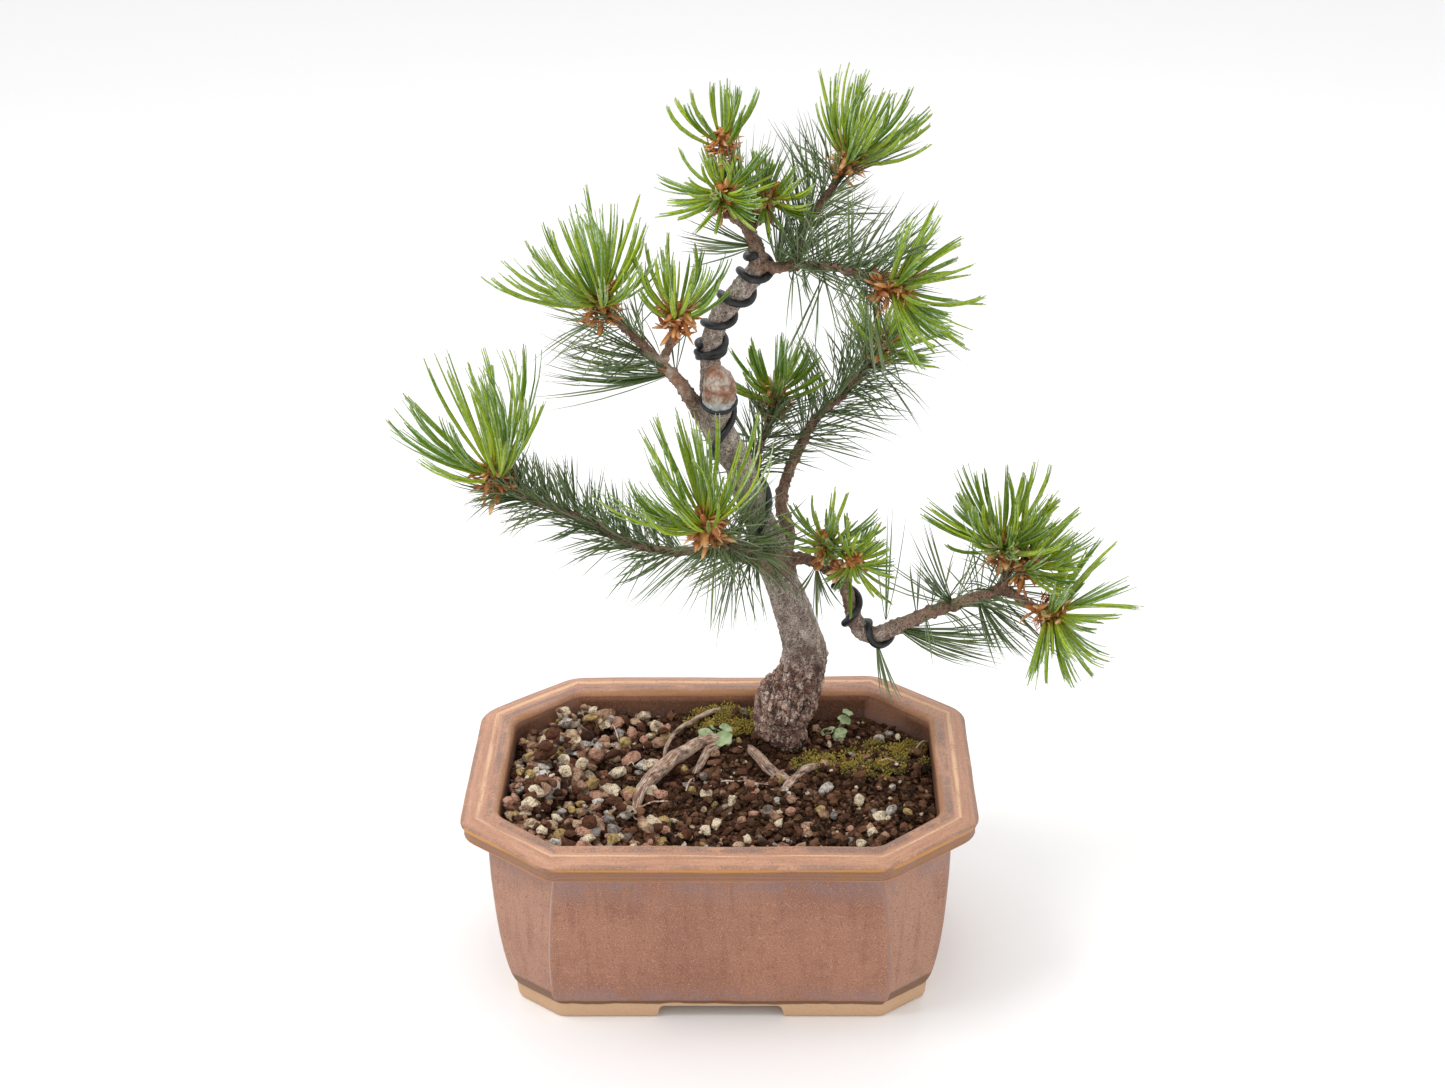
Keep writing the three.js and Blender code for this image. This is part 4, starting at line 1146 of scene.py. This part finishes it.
def bladeShape(template, blades):
    shape = bmesh.new()
    for blade in blades:
        shape.from_mesh(template)
    shape.verts.ensure_lookup_table()
    tone = shape.verts.layers.float["tone"]
    count = len(template.vertices)
    for i, (root, tip, belly, outward, wide, thick, shade, blunt) in enumerate(blades):
        span = tip - root
        frames = {}
        for v in shape.verts[i * count:(i + 1) * count]:
            t = round(v.co.z, 3)
            if t not in frames:
                run = (span + belly * (4 - 8 * t)).normalized()
                side = run.cross(outward).normalized()
                size = bladeWidth(t, blunt) * mm
                middle = root + span * t + belly * (4 * t * (1 - t))
                frames[t] = (middle, side * (wide * size), run.cross(side) * (thick * size))
            middle, side, up = frames[t]
            v.co = middle + side * v.co.x + up * v.co.y
            v[tone] = shade
    return shape


def capDirection(axis, i, count, spread):
    tilt = spread * math.sqrt((i + 0.5) / count)
    turn = i * golden
    local = Vector((math.sin(tilt) * math.cos(turn), math.sin(tilt) * math.sin(turn), math.cos(tilt)))
    return Vector((0, 0, 1)).rotation_difference(axis) @ local


# needles that share one sheath: kind is their number, half width in mm and bluntness


def bundle(root, aim, length, splay, kind, shade, bow, dice):
    count, wide, blunt = kind
    across = aim.orthogonal().normalized()
    start = dice.uniform(0, 2 * math.pi)
    blades = []
    for i in range(count):
        outward = Quaternion(aim, start + 2 * math.pi * i / count) @ across
        reach = length * dice.uniform(0.9, 1.02)
        lean = (aim + outward * splay * dice.uniform(0.5, 1.4)).normalized()
        belly = bow * length + outward * (splay * length * 0.06)
        foot = root + outward * 0.3 * mm
        tone = min(max(shade + dice.uniform(-0.18, 0.18), 0), 1)
        blades.append((foot, root + lean * reach, belly, outward, wide, wide * 0.62, tone, blunt))
    return blades


def newNeedleMaterial():
    material, start = startMaterial("new needles")
    along, tone, inner = (start.attribute(name) for name in ("along", "tone", "inner"))
    streak = start.place().grain(700, 3, 0.6)
    pale = streak.step(0.4, 0.6).tint((208, 224, 198), (146, 182, 104))
    base = tone.tint((88, 124, 10), (184, 206, 62)).over(
        (along.under(0.0, 0.4) * 0.7, (188, 200, 52)),
        (streak.step(0.45, 0.7) * 0.4, (62, 96, 10)),
        (inner * (0.14 + 0.66 * along.step(0.05, 0.45)), pale),
        (along.step(0.93, 1) * 0.5, (150, 142, 60)),
    )
    return finishMaterial(material, base, 0.45 + streak * 0.15, streak, 0.0002, 0.4, 0.25)


def oldNeedleMaterial():
    material, start = startMaterial("old needles")
    along, tone, inner = (start.attribute(name) for name in ("along", "tone", "inner"))
    streak = start.place().grain(700, 3, 0.6)
    base = tone.tint((66, 88, 40), (130, 148, 88)).over(
        (streak.step(0.45, 0.7) * 0.4, (52, 72, 36)),
        (inner * 0.5, (158, 176, 146)),
        (along.step(0.5, 1) * tone.step(0.7, 0.95) * 0.8, (126, 106, 90)),
    )
    return finishMaterial(material, base, 0.5 + streak * 0.15, streak, 0.0002, 0.4, 0.25)


# new shoots: base from the trunk's foot in mm, axis, half angle, reach of the tips in mm, number of bundles
tuftSet = {
    "needles_apex": [((-25, -34, 283), (-0.08, 0, 1), 46, (22, 33), 20)],
    "needles_apex_front": [((-25, -41, 264), (-0.15, -0.35, 1), 84, (20, 31), 44)],
    "needles_apex_right": [((-10, -29, 258), (0.35, -0.3, 0.9), 84, (19, 30), 34)],
    "needles_crown": [((23, -23, 273), (0.42, -0.05, 0.9), 48, (30, 44), 38)],
    "needles_upper_front": [((38, -59, 235), (1, -0.25, 0.12), 66, (24, 43), 42)],
    "needles_back_right": [((39, 13, 180), (0.5, 0.0, 0.75), 72, (20, 33), 32)],
    "needles_back_centre": [((-6, 7, 159), (0, -0.1, 1), 58, (24, 34), 28)],
    "needles_left_mid": [((-75, -36, 218), (-0.25, -0.1, 1), 56, (32, 56), 40)],
    "needles_left_fork": [((-45, -41, 214), (0.12, -0.1, 1), 46, (25, 39), 27)],
    "needles_left_low": [((-121, -38, 143), (-0.3, -0.1, 1), 48, (36, 63), 38)],
    "needles_centre_front": [((-33, -60, 130), (-0.25, -0.25, 1), 45, (30, 57), 38)],
    "needles_right_near": [((16, -33, 107), (0, -0.1, 1), 68, (18, 29), 30)],
    "needles_right_twig": [((24, -37, 103), (0.55, -0.4, 0.5), 82, (17, 27), 34)],
    "needles_right_low": [
        ((90, -43, 112), (-0.1, -0.15, 1), 60, (26, 42), 58), ((97, -45, 105), (0.7, -0.25, 0.75), 56, (24, 38), 34),
    ],
    "needles_right_tip": [((106, -51, 89), (0.9, -0.25, -0.1), 86, (22, 45), 50)],
}
shootSet = {
    "length": 10,
    "radius": 2.3,
    "needles": (5, 0.66, 0.4),
    "candle": (3, 0.9, 0.5),
    "candles": {"needles_apex_front": 4, "needles_crown": 9},
    "darker": {"needles_back_centre": 0.5},
    "scales": 120,
}


def shootBlades(name, shoot, dice):
    place, axis, spread, (low, high), count = shoot
    base, axis = fromFoot(place), Vector(axis).normalized()
    blades = []
    for i in range(count):
        aim = capDirection(axis, i + dice.uniform(-0.3, 0.3) if i else 0, count, math.radians(spread))
        share = 0.9 - 0.65 * i / count
        aside = (aim - axis * aim.dot(axis)).normalized()
        root = base + (axis * share * shootSet["length"] + aside * dice.uniform(1.2, 4)) * mm
        tip = base + aim * (low + (high - low) * dice.random()) * mm
        line = tip - root
        bow = aside * dice.uniform(0.0, 0.13) + Vector((0, 0, -0.03))
        splay = dice.uniform(0.008, 0.03) if dice.random() < 0.6 else dice.uniform(0.04, 0.12)
        shade = dice.random() * (1 - shootSet["darker"].get(name, 0))
        blades += bundle(root, line.normalized(), line.length, splay, shootSet["needles"], shade, bow, dice)
    candles = shootSet["candles"].get(name, 0)
    for i in range(candles):
        aim = capDirection((axis - Vector((0.7, 0.2, 0.2))).normalized(), i, candles, 0.6)
        length = dice.uniform(7, 11) * mm
        blades += bundle(base + axis * 2 * mm, aim, length, 0.05, shootSet["candle"], 0.95, Vector(), dice)
    return blades


def makeTufts(blade):
    finish = newNeedleMaterial()
    for number, (name, shoots) in enumerate(tuftSet.items()):
        dice = random.Random(100 + number)
        blades = sum((shootBlades(name, shoot, dice) for shoot in shoots), [])
        addPiece(name + "_green", bladeShape(blade, blades), finish, "new_needles", [name])


# last year's needles: branch, share of it where they start and end, lean, length in mm, number of bundles
oldSet = {
    "old_needles_crown": ("crown", 0.42, 0.98, (0.0, 0.0, 0.3), (22, 38), 40),
    "old_needles_upper_front": ("upper_front", 0.1, 0.98, (0.0, -0.1, 0.3), (20, 38), 66),
    "old_needles_back_right": ("back_right", 0.55, 0.99, (0.0, -0.1, 0.15), (22, 38), 72),
    "old_needles_back_centre": ("back_centre", 0.2, 0.99, (0.1, -0.1, 0.0), (18, 34), 42),
    "old_needles_left_mid": ("left_mid", 0.42, 0.97, (-0.3, 0, -0.05), (20, 36), 26),
    "old_needles_left_low": ("left_low", 0.42, 0.98, (-0.05, 0, 0.55), (17, 28), 140),
    "old_needles_centre_front": ("centre_front", 0.2, 0.98, (0.2, -0.1, 0), (22, 38), 60),
    "old_needles_right_low": ("right_low", 0.7, 0.95, (-0.1, -0.1, 0.1), (20, 34), 30),
}
# sprays that stand apart: root from the trunk's foot, aim, length in mm, number of bundles and their fan
spraySet = [
    ((-17, -33, 252), (0.1, 0.2, 1), (22, 44), 10, 0.6),
    ((-12, -31, 244), (-0.8, -0.3, 0.25), (24, 38), 5, 0.4),
    ((-4, -31, 236), (0.4, -0.2, 1), (22, 36), 9, 0.7),
    ((-47, -28, 188), (-1, -0.1, 0.1), (40, 58), 7, 0.3),
    ((-52, -28, 194), (-1, -0.2, 0.35), (34, 48), 5, 0.35),
    ((-12, -20, 112), (-0.2, -0.9, 0.3), (24, 38), 12, 1.0),
    ((12, -25, 98), (0.2, -0.7, -0.5), (16, 26), 5, 0.8),
    ((70, -36, 85), (-0.5, -0.2, 0.8), (26, 42), 5, 0.45),
    ((80, -39, 90), (0.5, -0.4, -0.6), (26, 40), 7, 0.5),
    ((46, -31, 71), (1, -0.3, -0.05), (34, 58), 9, 0.32),
    ((38, -30, 64), (0.2, -0.2, -1), (20, 32), 2, 0.2),
    ((42, -30, 73), (-0.05, 0, 1), (50, 56), 1, 0.1),
]
oldNeedles = {"onBranch": (4, 0.4, 0.2), "inSpray": (4, 0.44, 0.2)}


def sprayBundles(dice):
    blades = []
    for place, axis, (low, high), count, fan in spraySet:
        for i in range(count):
            aim = capDirection(Vector(axis).normalized(), i, count, fan)
            bow = Vector((0, 0, dice.uniform(-0.09, -0.02)))
            length, splay = dice.uniform(low, high) * mm, dice.uniform(0.04, 0.16)
            root = fromFoot(place) + aim * 1.5 * mm
            blades += bundle(root, aim, length, splay, oldNeedles["inSpray"], dice.random(), bow, dice)
    return blades


def oldBundles(stretch, dice):
    limb, start, end, lean, (low, high), count = stretch
    rows = limbRows(woodSet["branches"][limb])
    turns = lineTurns([Vector(row[:3]) for row in rows])
    blades = []
    for i in range(count):
        share = start + (end - start) * (i + dice.random()) / count
        k = min(int(share * (len(rows) - 1)), len(rows) - 1)
        along = turns[k]
        out = Quaternion(along, i * golden + dice.uniform(-0.4, 0.4)) @ along.orthogonal().normalized()
        stray = Vector((dice.uniform(-1, 1), dice.uniform(-1, 1), dice.uniform(-1, 1))) * 0.35
        aim = (out + along * dice.uniform(0.1, 1.2) + stray + Vector(lean)).normalized()
        root = fromFoot(rows[k]) + out * rows[k][3] * 0.8 * mm
        bow = Vector((0, 0, dice.uniform(-0.04, 0.07))) + out * dice.uniform(-0.06, 0.06)
        # the ones that hang are longer
        hang = 1 + 0.35 * smoothStep(0.1, 0.8, -aim.z)
        length, splay = dice.uniform(low, high) * hang * mm, dice.uniform(0.05, 0.3)
        blades += bundle(root, aim, length, splay, oldNeedles["onBranch"], dice.random(), bow, dice)
    return blades


def makeOldNeedles(blade):
    finish = oldNeedleMaterial()
    for number, (name, stretch) in enumerate(oldSet.items()):
        blades = oldBundles(stretch, random.Random(300 + number))
        addPiece(name + "_spray", bladeShape(blade, blades), finish, "old_needles", [name])
    apart = bladeShape(blade, sprayBundles(random.Random(380)))
    addPiece("old_needles_apart", apart, finish, "old_needles")


needleBlade = bladeTemplate(3, bladeSteps)
makeTufts(needleBlade)
makeOldNeedles(needleBlade)
print("needles made")


# papery scales where each new shoot starts
def scaleMaterial():
    material, start = startMaterial("bud scales")
    along, tone = start.attribute("along"), start.attribute("tone")
    grain = start.place().grain(800, 3, 0.6)
    base = tone.tint((178, 100, 44), (236, 172, 104)).over(
        (along.step(0.4, 1) * tone.step(0.3, 0.9) * 0.7, (246, 212, 166)),
        (grain.step(0.52, 0.7) * 0.5, (134, 70, 32)),
    )
    return finishMaterial(material, base, 0.7, grain, 0.0003, 0.5)


def makeScales():
    dice = random.Random(77)
    blades = []
    tufts = tuftSet.values()
    shoots = [tuft[0] for tuft in tufts] + [shoot for tuft in tufts for shoot in tuft[1:]]
    for place, axis, spread, (low, high), count in shoots:
        base, axis = fromFoot(place), Vector(axis).normalized()
        full = 0.55 + 0.45 * smoothStep(20, 45, high)
        length, radius = shootSet["length"], shootSet["radius"]
        # the shoot itself
        stem = (base - axis * 2 * mm, base + axis * length * mm, Vector(), axis.orthogonal())
        blades.append((*stem, radius, radius, 0.2, 0.5))
        for i in range(int(shootSet["scales"] * full)):
            aside = Quaternion(axis, i * golden) @ axis.orthogonal().normalized()
            share = dice.uniform(-0.35, 0.95)
            root = base + (axis * share * length + aside * dice.uniform(1, 5) * full) * mm
            aim = (aside * dice.uniform(0.3, 1.6) + axis * dice.uniform(-0.8, 1.0)).normalized()
            reach = dice.uniform(2.6, 8.8) * mm * full
            belly = axis * dice.uniform(-0.16, 0.16) * reach
            blades.append((root, root + aim * reach, belly, axis, dice.uniform(0.7, 1.7), 0.16, dice.random(), 0.3))
    shape = bladeShape(bladeTemplate(4, (0, 0.35, 0.7, 1)), blades)
    addPiece("bud_scales", shape, scaleMaterial(), "bark")


makeScales()
print("bud scales made")

# places from the trunk's foot in mm
mossSet = {
    "moss_behind": {"at": (-28, 8), "size": (18, 11), "clumps": 84, "rise": 2.2},
    "moss_right": {"at": (13, -23), "size": (13, 9), "clumps": 36, "rise": 1.6},
    "moss_far_right": {"at": (43, -20), "size": (24, 16), "clumps": 84, "rise": 1.4},
}


def mossMaterial():
    material, start = startMaterial("moss")
    along, tone = start.attribute("along"), start.attribute("tone")
    grain = start.place().grain(500, 4, 0.6)
    base = tone.tint((66, 58, 16), (186, 166, 62)).over(
        (tone.step(0.62, 0.9) * 0.7, (190, 138, 70)),
        (along.step(0.3, 1) * 0.6, (214, 194, 96)),
        (grain.step(0.5, 0.65) * 0.5, (56, 52, 22)),
    )
    return finishMaterial(material, base, 0.85, grain, 0.0008, 0.8)


# sprigs that stand on a mound of moss


def mossSprigs(place, size, shade, dice):
    blades = []
    count = int(9 * size)
    for i in range(count):
        aim = capDirection(Vector((0, 0, 1)), i, count, 1.5)
        root = place + Vector((aim.x * size, aim.y * size, aim.z * size * 0.7)) * mm
        lean = (aim + Vector((dice.uniform(-0.6, 0.6), dice.uniform(-0.6, 0.6), 0.3))).normalized()
        tip = root + lean * dice.uniform(0.9, 2.1) * mm
        across = Vector((dice.uniform(-1, 1), dice.uniform(-1, 1), 0.1))
        tone = min(max(shade + dice.uniform(-0.3, 0.3), 0), 1)
        blades.append((root, tip, across * 0.1 * mm, across, dice.uniform(0.35, 0.6), 0.3, tone, 0.2))
    return blades


def makeMoss():
    sprig = bladeTemplate(3, (0, 0.5, 1))
    finish = mossMaterial()
    for number, (name, patch) in enumerate(mossSet.items()):
        dice = random.Random(500 + number)
        middle = fromFoot((*patch["at"], 0)) - potMiddle
        blades, mounds = [], []
        while len(mounds) < patch["clumps"]:
            reach, turn = math.sqrt(dice.random()), dice.uniform(0, 2 * math.pi)
            x = middle.x / mm + patch["size"][0] * reach * math.cos(turn)
            y = middle.y / mm + patch["size"][1] * reach * math.sin(turn)
            size = dice.uniform(1.2, 2.9) * (1.2 - 0.4 * reach)
            if insideOpening(x, y, size + 0.5) and not nearRoot(x, y, 1):
                place, shade = onGround(x, y, patch["rise"]), dice.random()
                mounds.append((place, size, shade))
                blades += mossSprigs(place, size, shade, dice)
        shape = bladeShape(sprig, blades)
        tone = shape.verts.layers.float["tone"]
        for place, size, shade in mounds:
            for v in bmesh.ops.create_icosphere(shape, subdivisions=2, radius=1)["verts"]:
                v.co *= 1 + 0.3 * noise.noise(v.co * 1.7 + place * 300)
                v.co = place + Vector((v.co.x * size, v.co.y * size, v.co.z * size * 0.75)) * mm
                v[tone] = shade * 0.6
        addPiece(name + "_cushion", shape, finish, "moss", [name])


makeMoss()
print("moss made")

# seedlings: place from the trunk's foot, and each leaf's tip, turn and size
weedSet = {
    "weed_left": {
        "at": (-33, -6),
        "leaves": [(-4.5, -1, 5.5, 0.2, 4.3), (3.5, -4, 5, -0.7, 5), (4.5, 3, 6.5, 0.9, 3.6), (-0.5, 5, 5.5, 1.7, 3.2)],
    },
    "weed_right": {
        "at": (21, 4),
        "leaves": [(-3, -3.5, 5, -2.2, 4), (2.5, -4.5, 4.5, -1, 3.8), (4.5, 2.5, 7.5, 0.6, 3.6), (6, 5, 10, 1.2, 3)],
    },
}


def leafMaterial():
    material, start = startMaterial("seedling leaf")
    mottle = start.place().grain(260, 4, 0.6)
    vein = start.attribute("vein")
    base = mottle.step(0.35, 0.65).tint((132, 152, 104), (176, 192, 146)).over((vein * 0.5, (184, 200, 146)))
    return finishMaterial(material, base, 0.55, mottle - vein * 0.6, 0.0004, 0.5)


def addLeaf(shape, crown, tip, turn, size):
    vein = shape.verts.layers.float["vein"]
    rows = smoothLine([[*crown, 0.35 * mm], [*(crown.lerp(tip, 0.5) + Vector((0, 0, 1.2 * mm))), 0.3 * mm],
                       [*tip, 0.25 * mm]], 7)
    addLimb(shape, [Vector(row[:3]) for row in rows], [row[3] for row in rows], 6)
    ring = bmesh.ops.create_circle(shape, segments=30, radius=1, cap_ends=True)["verts"]
    face = ring[0].link_faces[0]
    bmesh.ops.inset_individual(shape, faces=[face], thickness=0.33)
    bmesh.ops.inset_individual(shape, faces=[face], thickness=0.33)
    hub = bmesh.ops.poke(shape, faces=[face])["verts"]
    blade = {v for f in hub[0].link_faces for v in f.verts}
    while len(blade) < 91:
        blade |= {e.other_vert(v) for v in blade for e in v.link_edges}
    faces = {f for v in blade for f in v.link_faces}
    for v in blade:
        reach, angle = v.co.xy.length, math.atan2(v.co.y, v.co.x)
        lobes = 0.74 + 0.2 * abs(math.cos(2.5 * angle)) + 0.05 * math.cos(15 * angle)
        v[vein] = max(1 - abs(math.sin(2.5 * angle)) * 6 * reach, 0)
        flat = Vector((math.cos(angle), math.sin(angle), 0)) * reach * (1 + (lobes - 1) * smoothStep(0.2, 1, reach))
        flat.z = 0.16 * reach - 0.07 * math.cos(5 * angle) * reach
        v.co = tip + Euler((0.35, 0.15, turn)).to_matrix() @ (flat * size * mm)
    bmesh.ops.solidify(shape, geom=list(faces), thickness=0.22 * mm)


def makeWeeds():
    finish = leafMaterial()
    for name, weed in weedSet.items():
        shape = bmesh.new()
        shape.verts.layers.float.new("vein")
        spot = fromFoot((*weed["at"], 0)) - potMiddle
        crown = onGround(spot.x / mm, spot.y / mm, -0.5)
        for x, y, z, turn, size in weed["leaves"]:
            addLeaf(shape, crown, crown + Vector((x, y, z)) * mm, turn, size)
        facesOut(shape)
        addPiece(name + "_leaves", shape, finish, "weed_leaf", [name])


makeWeeds()
print("seedlings made")

# each is a start, a middle and an end from the trunk's foot in mm, with its rise, and a radius
strawSet = {
    "lying": [
        ((-30, -41, 1), (-18, -42, 2.5), (-8, -43, 1), 0.45),
        ((-66, -62, 1), (-58, -59, 3), (-49, -57, 1), 0.5),
        ((-42, -38, 1), (-44, -44, 3), (-46, -54, 1), 0.45),
        ((-8, -47, 1), (-3, -50, 2), (2, -56, 1), 0.35),
        ((40, -24, 2), (45, -27, 4), (52, -30, 1), 0.45),
        ((56, -14, 1), (61, -9, 4), (66, -5, 1), 0.5),
        ((-79, -70, 1), (-72, -66, 4), (-66, -71, 1), 0.6),
        ((-66, -71, 1), (-62, -74, 3), (-58, -82, 1), 0.4),
        ((-15, 8, 1), (-10, -2, 2), (-14, -8, 1), 0.6),
        ((-86, 6, 2), (-80, 1, 4), (-77, -8, 1), 0.4),
    ],
}


def makeStraws(finish):
    shape = bmesh.new()
    grain = shape.verts.layers.float_vector.new("grain")
    shape.verts.layers.float.new("crack")
    for number, (*stations, radius) in enumerate(strawSet["lying"]):
        rows = smoothLine(stations, 12)
        points = []
        for x, y, rise in rows:
            spot = fromFoot((x, y, 0)) - potMiddle
            points.append(onGround(spot.x / mm, spot.y / mm, rise + 1))
        rings = addLimb(shape, points, [radius * mm * (1 - 0.04 * i) for i in range(12)], 6)
        for i, ring in enumerate(rings):
            for v in ring:
                v[grain] = Vector((number, i * 0.2, 0))
    facesOut(shape)
    addPiece("straws", shape, finish, "root_bark")


makeStraws(rootFinish)
print("straws laid")


def screenMaterial():
    material, start = startMaterial("drain screen plastic")
    grain = start.place().grain(400, 3, 0.5)
    base = grain.step(0.4, 0.7).tint((24, 26, 28), (48, 50, 52))
    return finishMaterial(material, base, 0.5 + grain * 0.2, grain, 0.0002, 0.4)


screenFinish = screenMaterial()
for screenName in ("drain_screen_left", "drain_screen_right"):
    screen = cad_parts[screenName]
    screen.data.materials.clear()
    screen.data.materials.append(screenFinish)

lightSet = {
    "sky": 0.95,
    "aim": (0, 0, 0.15),
    "panels": {
        "key": {"power": 9, "size": 0.6, "place": (-0.75, -0.35, 1.35)},
        "fill": {"power": 1.5, "size": 1.2, "place": (0.9, -0.6, 0.9)},
        "back": {"power": 3, "size": 1.0, "place": (0.2, 0.9, 1.2)},
    },
}


def addLights():
    world = bpy.data.worlds.new("studio")
    world.use_nodes = True
    sky = world.node_tree.nodes["Background"]
    sky.inputs["Color"].default_value = (1, 1, 1, 1)
    sky.inputs["Strength"].default_value = lightSet["sky"]
    bpy.context.scene.world = world
    for name, panel in lightSet["panels"].items():
        light = bpy.data.lights.new(name, "AREA")
        light.energy = panel["power"]
        light.size = panel["size"]
        addObject(name, light).matrix_world = lookingAt(Vector(panel["place"]), Vector(lightSet["aim"]))


def addFloor():
    shape = bmesh.new()
    bmesh.ops.create_grid(shape, x_segments=1, y_segments=1, size=24)
    floor = looseObject("floor", shape)
    material, start = startMaterial("pale floor")
    floor.data.materials.append(finishMaterial(material, (0.93, 0.93, 0.93, 1), 0.5))


addLights()
addFloor()
bpy.context.scene.view_settings.view_transform = "Standard"
print("light and floor set")
